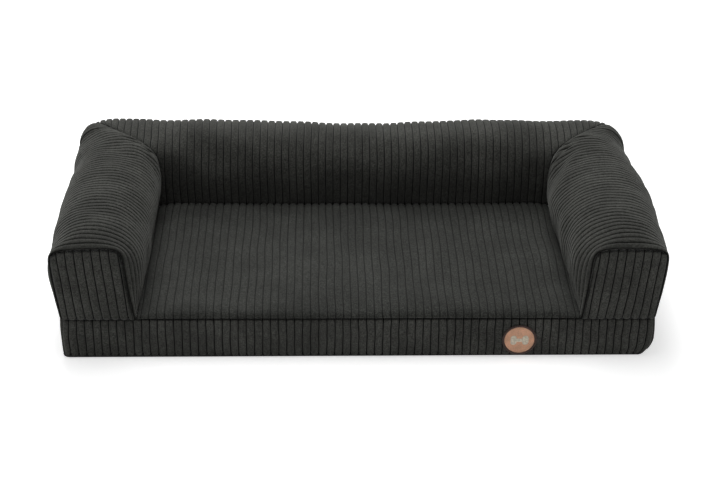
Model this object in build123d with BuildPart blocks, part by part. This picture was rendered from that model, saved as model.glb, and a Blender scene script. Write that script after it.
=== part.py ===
import os

from build123d import *

os.makedirs("parts", exist_ok=True)

# Sofa-style dog bed. Millimetres, +Z up, front towards -Y, origin on the floor at the middle.

# Driving sizes of the bed
base_width = 762.0
base_depth = 400.0
seam_height = 58.0
bolster_width = 97.0
bolster_height = 106.0
well_crown = 8.0

# Cloth, linings and running gaps
cover_cloth = 2.5
lining_cloth = 1.0
case_cloth = 0.8
soft_gap = 0.3
seam_gap = 0.1
cut_overrun = 4.0

# Underside with grip dots
bottom_cloth = 1.2
dot_height = 0.8
dot_radius = 1.7
dot_pitch = 32.0
dot_margin = 24.0

# Corners of the base in plan
front_corner = 10.0
rear_corner = 28.0
rear_corner_spread = 12.0

# Bolster section: how far each side swells past its foot
arm_swell = 14.0
rear_swell = 6.0
inner_swell = 12.0
outer_flat = 24.0
inner_flat = 9.0
crown_drop = 5.0
arm_corner = 34.0
panel_bulge = 6.0
panel_edge = 5.0

# Crown of the sleeping panel
well_gap = 0.3
well_rim = 3.0

# Badge on the front boxing
badge_x = 207.0
badge_z = 26.0
badge_radius = 21.0
badge_border_width = 2.2
badge_border_height = 1.6
badge_backing_height = 1.0
badge_motif_height = 0.6
bone_length = 23.0
bone_shank = 5.2
bone_knob = 3.9
bone_knob_spread = 3.3

# Zips
zip_slot = 10.0
zip_tape = 0.6
zip_tape_width = 9.0
zip_tape_tail = 8.0
zip_split = 0.9
zip_row = 2.5
zip_spine_share = 0.48
zip_row_height = 2.0
zip_pitch = 3.0
zip_tooth = 1.7
zip_stop_length = 3.0
slider_length = 11.0
slider_width = 8.6
slider_plate = 0.9
slider_clearance = 0.3
slider_neck = 0.4
slider_neck_length = 3.0
slider_flange = 0.7
slider_flange_gap = 0.4
bridge_length = 6.4
bridge_width = 1.6
bridge_bar = 1.0
pull_lift = 1.0
pull_thickness = 1.2
pull_length = 26.0
pull_width = 6.6
pull_neck_width = 5.4
pull_eye_length = 5.0
pull_hole = 2.6
base_zip_length = 640.0
base_zip_height = 31.0
bolster_zip_length = 440.0
bolster_zip_rise = 14.0

# Places worked out from the sizes above
half_width = base_width / 2
half_depth = base_depth / 2
well_half_width = half_width - bolster_width
well_back = half_depth - bolster_width
bottom_top = dot_height + bottom_cloth
pillow_inset = cover_cloth + soft_gap
slider_reach = zip_row_height / 2 + slider_clearance + slider_plate
zip_room = cover_cloth + zip_tape / 2 + slider_reach + soft_gap

# Stations along an arm, from its front seam to past the rear corner.
# Shares: place along the depth, outer swell, inner swell, crest, corner, upright foot.
arm_station_shares = [
    (0.0, 0.55, -0.75, 0.960, 0.50, 0.2),
    (0.12, 0.80, -0.30, 0.985, 0.85, 0.2),
    (0.42, 1.00, 0.35, 1.000, 1.0, 0.3),
    (0.76, 0.43, 0.60, 0.970, 1.0, 1.0),
    (1.10, 0.43, 0.60, 0.970, 1.0, 1.0),
]
# Stations along the back, from left to right. Shares: place on the half width, inner swell, crest, corner.
back_station_shares = [
    (-1.06, 0.60, 0.970, 1.0),
    (-0.76, 0.60, 0.970, 1.0),
    (-0.45, 0.85, 0.990, 1.0),
    (0.05, 0.70, 0.945, 1.0),
    (0.50, 0.85, 1.000, 1.0),
    (0.76, 0.60, 0.970, 1.0),
    (1.06, 0.60, 0.970, 1.0),
]
swell_height_share = 0.52
inner_swell_height_share = 0.46
# Stations of the sleeping panel's crown. Shares: place from front to back, crown.
well_station_shares = [
    (0.0, 0.12),
    (0.03, 0.45),
    (0.07, 0.72),
    (0.16, 0.92),
    (0.35, 1.0),
    (0.65, 1.0),
    (0.85, 0.93),
    (0.95, 0.72),
    (1.0, 0.45),
]


def bolster_section(outer_swell, inner_bulge, crest, corner, upright, inset, outer_inset, floor):
    """Cross section of the bolster: x from the outer foot inwards, y up from the seam."""
    left = outer_inset
    right = bolster_width - inset
    top = crest - inset
    shoulder = top - crown_drop
    outer_mid = (outer_inset - outer_swell, crest * swell_height_share)
    outer_top = (outer_inset - outer_swell / 2, shoulder)
    inner_mid = (right + inner_bulge, crest * inner_swell_height_share)
    inner_top = (right + inner_bulge / 2, shoulder)
    with BuildSketch() as section:
        with BuildLine():
            Line((left, floor), (right, floor))
            Line((right, floor), (right, inner_flat))
            ThreePointArc((right, inner_flat), inner_mid, inner_top)
            ThreePointArc(inner_top, ((left + right) / 2, top), outer_top)
            ThreePointArc(outer_top, outer_mid, (left, upright))
            Line((left, upright), (left, floor))
        make_face()
        shoulders = vertices().filter_by_position(Axis.Y, shoulder - crown_drop, top)
        fillet(shoulders, radius=corner - inset)
    return section.sketch


def panel_outline(inset):
    """Outline of an arm's front end, inset all round."""
    outer_share, inner_share, crest_share, corner_share, upright_share = arm_station_shares[0][1:]
    return bolster_section(
        arm_swell * outer_share,
        inner_swell * inner_share,
        bolster_height * crest_share,
        arm_corner * corner_share,
        outer_flat * upright_share,
        inset,
        inset,
        inset,
    )


def corner_cutter(inset):
    """What lies outside the rounded left rear corner, which flares as the bolster swells."""
    reach = rear_corner + arm_swell + cut_overrun
    rise = bolster_height + cut_overrun * 2
    slope = rear_corner_spread / bolster_height
    low_radius = rear_corner - inset - cut_overrun * slope
    foot = Plane((-half_width + rear_corner, half_depth - rear_corner, seam_height - cut_overrun))
    with BuildPart() as cutter:
        with BuildSketch(foot):
            Rectangle(reach, reach, align=(Align.MAX, Align.MIN))
        extrude(amount=rise)
        with BuildSketch(foot):
            Circle(low_radius)
        with BuildSketch(foot.offset(rise)):
            Circle(low_radius + rise * slope)
        loft(mode=Mode.SUBTRACT)
    return cutter.part


def left_mitre(gap):
    """The upright plane through the left rear corner; its normal points to the back bolster."""
    return Plane((-half_width - gap, half_depth - gap, 0), z_dir=(1, 1, 0))


def right_mitre(gap):
    """The upright plane through the right rear corner; its normal points to the back bolster."""
    return Plane((half_width + gap, half_depth - gap, 0), z_dir=(-1, 1, 0))


def arm_form(inset, outer_inset, floor, front, mitre_gap):
    """The left arm's crowned form, inset all round, from its front to the mitre."""
    with BuildPart() as form:
        for place, outer_share, inner_share, crest_share, corner_share, upright_share in arm_station_shares:
            along = -half_depth + front + place * (base_depth - front)
            with BuildSketch(Plane((-half_width, along, seam_height), x_dir=(1, 0, 0), z_dir=(0, -1, 0))):
                section = bolster_section(
                    arm_swell * outer_share,
                    inner_swell * inner_share,
                    bolster_height * crest_share,
                    arm_corner * corner_share,
                    outer_flat * upright_share,
                    inset,
                    outer_inset,
                    floor,
                )
                add(section)
        loft()
        split(bisect_by=left_mitre(mitre_gap), keep=Keep.BOTTOM)
        add(corner_cutter(outer_inset), mode=Mode.SUBTRACT)
    return form.part


def back_form(inset, outer_inset, floor, mitre_gap):
    """The back bolster's form, inset all round, between its two mitres."""
    with BuildPart() as form:
        for place, inner_share, crest_share, corner_share in back_station_shares:
            origin = (half_width * place, half_depth, seam_height)
            with BuildSketch(Plane(origin, x_dir=(0, -1, 0), z_dir=(-1, 0, 0))):
                section = bolster_section(
                    rear_swell,
                    inner_swell * inner_share,
                    bolster_height * crest_share,
                    arm_corner * corner_share,
                    outer_flat,
                    inset,
                    outer_inset,
                    floor,
                )
                add(section)
        loft()
        split(bisect_by=left_mitre(-mitre_gap), keep=Keep.TOP)
        split(bisect_by=right_mitre(-mitre_gap), keep=Keep.TOP)
        add(corner_cutter(outer_inset), mode=Mode.SUBTRACT)
        add(mirror(corner_cutter(outer_inset), about=Plane.YZ), mode=Mode.SUBTRACT)
    return form.part


def plan_outline(inset):
    """The base in plan, with small front corners and larger rear ones."""
    with BuildSketch() as outline:
        Rectangle(base_width - inset * 2, base_depth - inset * 2)
        fillet(vertices().group_by(Axis.Y)[0], radius=front_corner - inset)
        fillet(vertices().group_by(Axis.Y)[-1], radius=rear_corner - inset)
    return outline.sketch


def boxing_ring():
    """The whole boxing before it is cut into strips, with the slot for the zip."""
    with BuildPart() as ring:
        with BuildSketch(Plane.XY.offset(bottom_top)):
            add(plan_outline(0))
            add(plan_outline(cover_cloth), mode=Mode.SUBTRACT)
        extrude(amount=seam_height - bottom_top)
        slot_origin = (0, half_depth + cut_overrun, base_zip_height)
        with BuildSketch(Plane(slot_origin, x_dir=(-1, 0, 0), z_dir=(0, -1, 0))):
            Rectangle(base_zip_length + zip_tape_tail * 2, zip_slot)
        extrude(amount=cut_overrun + cover_cloth * 2, mode=Mode.SUBTRACT)
    return ring.part


def front_corner_plane(side):
    """The upright seam plane at a front corner; its normal points to the front."""
    return Plane(
        (side * (half_width - front_corner), -half_depth + front_corner, 0), z_dir=(side * -1, -1, 0)
    )


def rear_corner_plane(side):
    """The upright seam plane at a rear corner; its normal points to the back."""
    return Plane((side * (half_width - rear_corner), half_depth - rear_corner, 0), z_dir=(side * -1, 1, 0))


def well_section(crown, rim, inset, low):
    """Cross section of the sleeping panel: flat under, low at the arms, crowned over the foam."""
    half = well_half_width - well_gap - inset
    with BuildSketch() as section:
        with BuildLine():
            Line((-half, low), (half, low))
            Line((half, low), (half, rim - inset))
            ThreePointArc((half, rim - inset), (0, crown - inset), (-half, rim - inset))
            Line((-half, rim - inset), (-half, low))
        make_face()
    return section.sketch


def well_form(inset, low):
    """The crowned form between the arms and the back."""
    length = well_back - well_gap + half_depth - inset * 2
    with BuildPart() as form:
        for place, crown_share in well_station_shares:
            along = -half_depth + inset + place * length
            with BuildSketch(Plane((0, along, seam_height), x_dir=(1, 0, 0), z_dir=(0, -1, 0))):
                add(well_section(well_rim + well_crown * crown_share, well_rim, inset, low))
        loft()
    return form.part


def mattress_form(inset):
    """The foam's form at an inset from the cover: a slab with the crown of the well on it."""
    front = -half_depth + inset
    back = half_depth - zip_room - (inset - cover_cloth)
    bottom = bottom_top + inset - cover_cloth
    top = seam_height - (inset - cover_cloth)
    with BuildPart() as form:
        with BuildSketch(Plane((0, (front + back) / 2, bottom))):
            Rectangle(base_width - inset * 2, back - front)
            fillet(vertices().group_by(Axis.Y)[0], radius=front_corner - inset)
            fillet(vertices().group_by(Axis.Y)[-1], radius=rear_corner - inset)
        extrude(amount=top - bottom)
        add(well_form(inset, -inset * 2))
    return form.part


def zip_plane(rise, wall_face):
    """A zip's own plane: x towards the bed's left, y up, z out of the rear face."""
    return Plane(
        (0, wall_face - cover_cloth - zip_tape / 2, rise), x_dir=(-1, 0, 0), z_dir=(0, 1, 0)
    )


def zip_tape_part(plane, length, side):
    """One woven tape, sewn behind the edge of its strip."""
    near = zip_split / 2 + zip_row
    with BuildPart() as tape:
        with BuildSketch(plane.offset(-zip_tape / 2)):
            with Locations((0, side * (near + zip_tape_width / 2))):
                Rectangle(length + zip_tape_tail * 4, zip_tape_width)
        extrude(amount=zip_tape)
    return tape.part


def zip_teeth_part(plane, length):
    """Two rows of teeth, offset by half a pitch, with the slider's neck between them."""
    spine = zip_row * zip_spine_share
    count = int((length - zip_tooth * 2) // zip_pitch)
    with BuildPart() as teeth:
        for side, shift in ((1, zip_pitch / 4), (-1, -zip_pitch / 4)):
            with BuildSketch(plane.offset(-zip_row_height / 2)):
                with Locations((0, side * (zip_split / 2 + zip_row - spine / 2))):
                    Rectangle(length, spine)
                with Locations((shift, side * (zip_split / 2 + zip_row / 2))):
                    with GridLocations(zip_pitch, 0, count, 1):
                        Rectangle(zip_tooth, zip_row)
            extrude(amount=zip_row_height)
    return teeth.part


def zip_stops_part(plane, length):
    """The stop clamped over each end of the teeth."""
    with BuildPart() as stops:
        with BuildSketch(plane.offset(-zip_row_height / 2)):
            for side in (-1, 1):
                with Locations((side * (length + zip_stop_length) / 2, 0)):
                    Rectangle(zip_stop_length, zip_split + zip_row * 2)
        extrude(amount=zip_row_height)
        fillet(edges().filter_by(Axis.Y), radius=zip_stop_length / 5)
    return stops.part


def slider_place(plane, length):
    """The slider's plane at the closed end of its zip."""
    away = (length - slider_length) / 2 - soft_gap
    return Plane(plane.from_local_coords((-away, 0, 0)), x_dir=plane.x_dir, z_dir=plane.z_dir)


def zip_slider_part(place):
    """Two plates joined by a neck, with flanges round the teeth and a bridge for the pull."""
    inner = zip_row_height / 2 + slider_clearance
    outer = inner + slider_plate
    flange_depth = inner - zip_tape / 2 - slider_flange_gap
    window_height = pull_lift + pull_thickness + soft_gap
    bridge_height = window_height + bridge_bar
    with BuildPart() as slider:
        for side in (-1, 1):
            with BuildSketch(place.offset(inner if side > 0 else -outer)):
                RectangleRounded(slider_length, slider_width, slider_width / 5)
            extrude(amount=slider_plate)
            with BuildSketch(place.offset(inner - flange_depth if side > 0 else -inner)):
                with Locations(
                    (0, (slider_width - slider_flange) / 2), (0, -(slider_width - slider_flange) / 2)
                ):
                    Rectangle(slider_length - slider_width / 2, slider_flange)
            extrude(amount=flange_depth)
        with BuildSketch(place.offset(-inner)):
            with Locations((-(slider_length - slider_neck_length) / 2 + slider_neck, 0)):
                SlotOverall(slider_neck_length, slider_neck)
        extrude(amount=inner * 2)
        bridge_origin = place.from_local_coords((0, -bridge_width / 2, outer))
        with BuildSketch(Plane(bridge_origin, x_dir=place.x_dir, z_dir=place.y_dir)):
            with Locations((0, -bridge_height / 2)):
                Rectangle(bridge_length, bridge_height)
            fillet(vertices().group_by(Axis.Y)[0], radius=bridge_bar)
            with Locations((0, -window_height / 2)):
                Rectangle(bridge_length - bridge_bar * 2, window_height, mode=Mode.SUBTRACT)
        extrude(amount=bridge_width)
    return slider.part


def pull_axis_height():
    """Height of the pull's bar over the zip's plane."""
    return slider_reach + pull_lift + pull_thickness / 2


def zip_pull_part(place):
    """The pull: a bar under the bridge, an eye round it and a flat tab with a hole."""
    bar = pull_thickness / 2
    with BuildPart() as pull:
        axis_plane = Plane(
            place.from_local_coords((0, -pull_neck_width / 2, pull_axis_height())),
            x_dir=place.x_dir,
            z_dir=place.y_dir,
        )
        with BuildSketch(axis_plane):
            Circle(bar)
        extrude(amount=pull_neck_width)
        with BuildSketch(place.offset(pull_axis_height() - bar)):
            with Locations(((pull_eye_length + pull_width / 2) / 2, 0)):
                Rectangle(pull_eye_length + pull_width / 2, pull_neck_width)
            with Locations(((pull_length + pull_eye_length) / 2, 0)):
                RectangleRounded(pull_length - pull_eye_length, pull_width, pull_width / 3)
            with Locations((bar + (pull_eye_length - bar) / 2, 0)):
                Rectangle(pull_eye_length - bar, bridge_width + soft_gap * 2, mode=Mode.SUBTRACT)
            with Locations((pull_length - pull_width / 2, 0)):
                Circle(pull_hole / 2, mode=Mode.SUBTRACT)
        extrude(amount=pull_thickness)
    return pull.part


def save(name, shape):
    """Labels one finished piece and writes its STEP file."""
    with BuildPart() as piece:
        add(shape)
    piece.part.label = name
    export_step(piece.part, f"parts/{name}.step")
    return piece.part


# Underside: cloth with grip dots moulded on it
with BuildPart() as grip_bottom_panel:
    with BuildSketch(Plane.XY.offset(dot_height)):
        add(plan_outline(0))
    extrude(amount=bottom_cloth)
    with BuildSketch(Plane.XY.offset(dot_height)):
        across = int((half_width - dot_margin) // dot_pitch)
        along = int((half_depth - dot_margin) // dot_pitch)
        with GridLocations(dot_pitch, dot_pitch, across * 2 + 1, along * 2 + 1):
            Circle(dot_radius)
    extrude(amount=-dot_height)
grip_bottom_panel.part.label = "grip_bottom_panel"
export_step(grip_bottom_panel.part, "parts/grip_bottom_panel.step")

# Boxing: one ring cut into strips at the corner seams and at the zip
ring_part = boxing_ring()

with BuildPart() as base_front_boxing:
    add(ring_part)
    split(bisect_by=front_corner_plane(-1), keep=Keep.TOP)
    split(bisect_by=front_corner_plane(1), keep=Keep.TOP)
base_front_boxing.part.label = "base_front_boxing"
export_step(base_front_boxing.part, "parts/base_front_boxing.step")

with BuildPart() as base_left_boxing:
    add(ring_part)
    split(bisect_by=front_corner_plane(-1), keep=Keep.BOTTOM)
    split(bisect_by=rear_corner_plane(-1), keep=Keep.BOTTOM)
    split(bisect_by=Plane.YZ, keep=Keep.BOTTOM)
base_left_boxing.part.label = "base_left_boxing"
export_step(base_left_boxing.part, "parts/base_left_boxing.step")

with BuildPart() as base_right_boxing:
    add(mirror(base_left_boxing.part, about=Plane.YZ))
base_right_boxing.part.label = "base_right_boxing"
export_step(base_right_boxing.part, "parts/base_right_boxing.step")

with BuildPart() as base_back_lower_boxing:
    add(ring_part)
    split(bisect_by=rear_corner_plane(-1), keep=Keep.TOP)
    split(bisect_by=rear_corner_plane(1), keep=Keep.TOP)
    split(bisect_by=Plane.XY.offset(base_zip_height), keep=Keep.BOTTOM)
base_back_lower_boxing.part.label = "base_back_lower_boxing"
export_step(base_back_lower_boxing.part, "parts/base_back_lower_boxing.step")

with BuildPart() as base_back_upper_boxing:
    add(ring_part)
    split(bisect_by=rear_corner_plane(-1), keep=Keep.TOP)
    split(bisect_by=rear_corner_plane(1), keep=Keep.TOP)
    split(bisect_by=Plane.XY.offset(base_zip_height), keep=Keep.TOP)
base_back_upper_boxing.part.label = "base_back_upper_boxing"
export_step(base_back_upper_boxing.part, "parts/base_back_upper_boxing.step")

# Sleeping panel, open underneath
with BuildPart() as sleeping_panel:
    add(well_form(0, 0))
    add(well_form(cover_cloth, -cut_overrun), mode=Mode.SUBTRACT)
sleeping_panel.part.label = "sleeping_panel"
export_step(sleeping_panel.part, "parts/sleeping_panel.step")

# Foam slab in its liner
with BuildPart() as mattress_liner:
    add(mattress_form(pillow_inset))
    add(mattress_form(pillow_inset + case_cloth), mode=Mode.SUBTRACT)
mattress_liner.part.label = "mattress_liner"
export_step(mattress_liner.part, "parts/mattress_liner.step")

with BuildPart() as mattress_foam:
    add(mattress_form(pillow_inset + case_cloth + soft_gap))
mattress_foam.part.label = "mattress_foam"
export_step(mattress_foam.part, "parts/mattress_foam.step")

# Arm covers: a wrap over the inner side, the top and the outer side
with BuildPart() as left_arm_cover:
    add(arm_form(0, 0, 0, 0, seam_gap))
    add(arm_form(cover_cloth, cover_cloth, -cut_overrun, -cut_overrun, -cut_overrun), mode=Mode.SUBTRACT)
left_arm_cover.part.label = "left_arm_cover"
export_step(left_arm_cover.part, "parts/left_arm_cover.step")

with BuildPart() as right_arm_cover:
    add(mirror(left_arm_cover.part, about=Plane.YZ))
right_arm_cover.part.label = "right_arm_cover"
export_step(right_arm_cover.part, "parts/right_arm_cover.step")

# Back cover, with the slot for the bolster's zip
with BuildPart() as back_bolster_cover:
    add(back_form(0, 0, 0, seam_gap))
    add(back_form(cover_cloth, cover_cloth, -cut_overrun, -cut_overrun), mode=Mode.SUBTRACT)
    bolster_slot_origin = (0, half_depth + cut_overrun, seam_height + bolster_zip_rise)
    with BuildSketch(Plane(bolster_slot_origin, x_dir=(-1, 0, 0), z_dir=(0, -1, 0))):
        Rectangle(bolster_zip_length + zip_tape_tail * 2, zip_slot)
    extrude(amount=cut_overrun + cover_cloth * 2, mode=Mode.SUBTRACT)
back_bolster_cover.part.label = "back_bolster_cover"
export_step(back_bolster_cover.part, "parts/back_bolster_cover.step")

# End panels: the arm's front, crowned and open at the back
with BuildPart() as left_arm_end_panel:
    panel_plane = Plane((-half_width, -half_depth, seam_height), x_dir=(1, 0, 0), z_dir=(0, -1, 0))
    with BuildSketch(panel_plane):
        add(panel_outline(0))
    extrude(amount=panel_bulge)
    fillet(faces().sort_by(Axis.Y)[0].edges(), radius=panel_edge)
    with BuildSketch(panel_plane):
        add(panel_outline(cover_cloth * 2))
    extrude(amount=panel_bulge - cover_cloth, mode=Mode.SUBTRACT)
left_arm_end_panel.part.label = "left_arm_end_panel"
export_step(left_arm_end_panel.part, "parts/left_arm_end_panel.step")

with BuildPart() as right_arm_end_panel:
    add(mirror(left_arm_end_panel.part, about=Plane.YZ))
right_arm_end_panel.part.label = "right_arm_end_panel"
export_step(right_arm_end_panel.part, "parts/right_arm_end_panel.step")

# Lining between the bolster and the base
with BuildPart() as left_arm_floor_panel:
    with BuildSketch(Plane((-half_width + cover_cloth, -half_depth, seam_height))):
        Rectangle(bolster_width - cover_cloth * 2, base_depth, align=(Align.MIN, Align.MIN))
    extrude(amount=lining_cloth)
    split(bisect_by=left_mitre(seam_gap), keep=Keep.BOTTOM)
    add(corner_cutter(cover_cloth), mode=Mode.SUBTRACT)
left_arm_floor_panel.part.label = "left_arm_floor_panel"
export_step(left_arm_floor_panel.part, "parts/left_arm_floor_panel.step")

with BuildPart() as right_arm_floor_panel:
    add(mirror(left_arm_floor_panel.part, about=Plane.YZ))
right_arm_floor_panel.part.label = "right_arm_floor_panel"
export_step(right_arm_floor_panel.part, "parts/right_arm_floor_panel.step")

with BuildPart() as back_floor_panel:
    with BuildSketch(Plane((0, half_depth - cover_cloth, seam_height))):
        Rectangle(base_width, bolster_width - cover_cloth * 2, align=(Align.CENTER, Align.MAX))
    extrude(amount=lining_cloth)
    split(bisect_by=left_mitre(-seam_gap), keep=Keep.TOP)
    split(bisect_by=right_mitre(-seam_gap), keep=Keep.TOP)
    add(corner_cutter(cover_cloth), mode=Mode.SUBTRACT)
    add(mirror(corner_cutter(cover_cloth), about=Plane.YZ), mode=Mode.SUBTRACT)
back_floor_panel.part.label = "back_floor_panel"
export_step(back_floor_panel.part, "parts/back_floor_panel.step")

# Pillows: a thin case round loose fibre
case_floor = lining_cloth + soft_gap
filling_inset = pillow_inset + case_cloth + soft_gap
filling_floor = case_floor + case_cloth + soft_gap

with BuildPart() as left_arm_pillow_case:
    add(arm_form(pillow_inset, pillow_inset, case_floor, soft_gap, pillow_inset))
    add(
        arm_form(
            pillow_inset + case_cloth,
            pillow_inset + case_cloth,
            case_floor + case_cloth,
            soft_gap + case_cloth,
            pillow_inset + case_cloth,
        ),
        mode=Mode.SUBTRACT,
    )
left_arm_pillow_case.part.label = "left_arm_pillow_case"
export_step(left_arm_pillow_case.part, "parts/left_arm_pillow_case.step")

with BuildPart() as left_arm_filling:
    add(arm_form(filling_inset, filling_inset, filling_floor, soft_gap * 2 + case_cloth, filling_inset))
left_arm_filling.part.label = "left_arm_filling"
export_step(left_arm_filling.part, "parts/left_arm_filling.step")

with BuildPart() as right_arm_pillow_case:
    add(mirror(left_arm_pillow_case.part, about=Plane.YZ))
right_arm_pillow_case.part.label = "right_arm_pillow_case"
export_step(right_arm_pillow_case.part, "parts/right_arm_pillow_case.step")

with BuildPart() as right_arm_filling:
    add(mirror(left_arm_filling.part, about=Plane.YZ))
right_arm_filling.part.label = "right_arm_filling"
export_step(right_arm_filling.part, "parts/right_arm_filling.step")

with BuildPart() as back_pillow_case:
    add(back_form(pillow_inset, zip_room, case_floor, pillow_inset))
    add(
        back_form(
            pillow_inset + case_cloth,
            zip_room + case_cloth,
            case_floor + case_cloth,
            pillow_inset + case_cloth,
        ),
        mode=Mode.SUBTRACT,
    )
back_pillow_case.part.label = "back_pillow_case"
export_step(back_pillow_case.part, "parts/back_pillow_case.step")

with BuildPart() as back_filling:
    add(back_form(filling_inset, zip_room + case_cloth + soft_gap, filling_floor, filling_inset))
back_filling.part.label = "back_filling"
export_step(back_filling.part, "parts/back_filling.step")

# Zips: one in the back boxing, one low on the back bolster
for prefix, rise, length in (
    ("base_zip", base_zip_height, base_zip_length),
    ("bolster_zip", seam_height + bolster_zip_rise, bolster_zip_length),
):
    own_plane = zip_plane(rise, half_depth)
    closed = slider_place(own_plane, length)
    save(f"{prefix}_upper_tape", zip_tape_part(own_plane, length, 1))
    save(f"{prefix}_lower_tape", zip_tape_part(own_plane, length, -1))
    save(f"{prefix}_teeth", zip_teeth_part(own_plane, length))
    save(f"{prefix}_stops", zip_stops_part(own_plane, length))
    save(f"{prefix}_slider", zip_slider_part(closed))
    save(f"{prefix}_pull", zip_pull_part(closed))
    hinge = closed.from_local_coords((0, 0, pull_axis_height()))
    print(prefix, "pull axis at", tuple(hinge), "travel", length - slider_length - soft_gap * 2)

# Badge on the front boxing: backing, stitched border and a plain bone
badge_plane = Plane((badge_x, -half_depth, badge_z), x_dir=(1, 0, 0), z_dir=(0, -1, 0))

with BuildPart() as badge_backing:
    with BuildSketch(badge_plane):
        Circle(badge_radius - badge_border_width)
    extrude(amount=badge_backing_height)
badge_backing.part.label = "badge_backing"
export_step(badge_backing.part, "parts/badge_backing.step")

with BuildPart() as badge_border:
    with BuildSketch(badge_plane):
        Circle(badge_radius)
        Circle(badge_radius - badge_border_width, mode=Mode.SUBTRACT)
    extrude(amount=badge_border_height)
    fillet(faces().sort_by(Axis.Y)[0].edges(), radius=badge_border_width / 3)
badge_border.part.label = "badge_border"
export_step(badge_border.part, "parts/badge_border.step")

with BuildPart() as badge_motif:
    with BuildSketch(badge_plane.offset(badge_backing_height)):
        Rectangle(bone_length - bone_knob * 2, bone_shank)
        knob_x = bone_length / 2 - bone_knob
        with Locations(
            (knob_x, bone_knob_spread),
            (knob_x, -bone_knob_spread),
            (-knob_x, bone_knob_spread),
            (-knob_x, -bone_knob_spread),
        ):
            Circle(bone_knob)
    extrude(amount=badge_motif_height)
badge_motif.part.label = "badge_motif"
export_step(badge_motif.part, "parts/badge_motif.step")
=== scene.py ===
"""Sofa-style dog bed: a boxed foam base with a stuffed bolster on three sides, in wide-rib corduroy."""

import logging
import math
from dataclasses import dataclass, field
from enum import Enum

import bmesh
import bpy
import numpy as np
from bpy.types import Material, Mesh, Node, NodeSocket, NodeTree, Object
from mathutils import Matrix, Vector


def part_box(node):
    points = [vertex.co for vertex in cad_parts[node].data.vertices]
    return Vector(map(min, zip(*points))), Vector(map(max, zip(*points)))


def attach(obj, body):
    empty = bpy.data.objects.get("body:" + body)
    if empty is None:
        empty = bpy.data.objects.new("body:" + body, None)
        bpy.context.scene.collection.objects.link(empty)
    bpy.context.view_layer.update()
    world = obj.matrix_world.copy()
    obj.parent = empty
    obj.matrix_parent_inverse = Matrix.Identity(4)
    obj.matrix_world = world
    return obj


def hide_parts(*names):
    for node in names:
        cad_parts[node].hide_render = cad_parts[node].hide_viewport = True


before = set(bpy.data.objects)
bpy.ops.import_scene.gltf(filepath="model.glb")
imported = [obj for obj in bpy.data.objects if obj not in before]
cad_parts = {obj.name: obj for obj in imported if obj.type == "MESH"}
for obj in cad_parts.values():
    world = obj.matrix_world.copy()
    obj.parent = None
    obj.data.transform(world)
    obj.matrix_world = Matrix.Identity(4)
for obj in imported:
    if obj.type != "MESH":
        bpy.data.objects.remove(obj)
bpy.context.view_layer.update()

logging.basicConfig(level=logging.INFO, format="%(message)s")
log = logging.getLogger("dog_bed")

Array = np.ndarray

MM = 0.001
BED_BODY = "bed"
# The distance between the middles of two ribs, on the cloth and in its colour.
RIB_PITCH = 10.3 * MM
# Where the cloth has its points across a rib, as shares of that distance.
RIB_COLUMNS = (0, 0.055, 0.115, 0.21, 0.36, 0.5, 0.64, 0.79, 0.885, 0.945)
# Points of a cloth that lie closer than this are one.
MERGE_DISTANCE = 2e-5
# A step that keeps equal places apart where a curve is read back.
NUDGE = 1e-9


@dataclass(frozen=True)
class BedSizes:
    """The sizes that the covers share, read from the frame, in metres.

    roll is the radius on which a cover turns into its seam, and rib_end is how much sooner a
    rib's edges than its middle end there. The bolster's rear corners widen by rear_flare at
    flare_height. soft_corner and soft_reach say how the base's right front corner gives.
    """

    half_width: float
    half_depth: float
    seam: float
    bottom: float
    bolster_width: float
    front_corner: float = 10 * MM
    rear_corner: float = 28 * MM
    rear_flare: float = 12 * MM
    flare_height: float = 100 * MM
    roll: float = 3.1 * MM
    rib_end: float = 4.4 * MM
    soft_corner: float = 10 * MM
    soft_reach: float = 26 * MM

    def tuck(self, points: Array) -> Array:
        """Draws the base's right front corner in at its foot, where the foam is cut soft.

        Args:
            points: Points of the boxing or the underside.

        Returns:
            The points, moved.
        """
        corner = np.array([self.half_width, -self.half_depth])
        away = np.linalg.norm(points[..., :2] - corner, axis=-1)
        low = np.clip(1 - points[..., 2] / self.soft_reach, 0, 1) ** 2
        drawn = self.soft_corner * low * bell(away, self.soft_reach)
        return points + drawn[..., None] * np.array([-1.0, 0.35, 0.0])

    @classmethod
    def from_frame(cls) -> "BedSizes":
        """Reads the base and the bolster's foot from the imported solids.

        Returns:
            The bed's shared sizes.
        """
        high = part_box("grip_bottom_panel")[1]
        front_low, front_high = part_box("base_front_boxing")
        panel_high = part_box("sleeping_panel")[1]
        return cls(
            half_width=high.x,
            half_depth=high.y,
            seam=front_high.z,
            bottom=front_low.z,
            bolster_width=high.y - panel_high.y,
        )


def arc_rows(length: float, step: float, fine: tuple[float, ...]) -> Array:
    """Places along a cloth from seam to seam, closer together where it rolls into each seam.

    Args:
        length: The distance between the seams, in metres.
        step: The usual distance between two rows.
        fine: Distances from a seam that get a row of their own.

    Returns:
        Shares of the length, from 0 to 1.
    """
    near = np.array(fine) / length
    start, end = near[-1], 1 - near[-1]
    middle = np.linspace(start, end, max(2, int(round((end - start) * length / step)) + 1))
    return np.concatenate([near[:-1], middle, 1 - near[:-1][::-1]])


def cubic_weights(t: Array) -> Array:
    """Weights of the four neighbours of places between two rows, for a smooth curve through them.

    Args:
        t: Places from 0 at one row to 1 at the next.

    Returns:
        Four weights for each place.
    """
    return np.stack(
        [
            -0.5 * t + t**2 - 0.5 * t**3,
            1 - 2.5 * t**2 + 1.5 * t**3,
            0.5 * t + 2 * t**2 - 1.5 * t**3,
            -0.5 * t**2 + 0.5 * t**3,
        ],
        axis=-1,
    )


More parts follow.
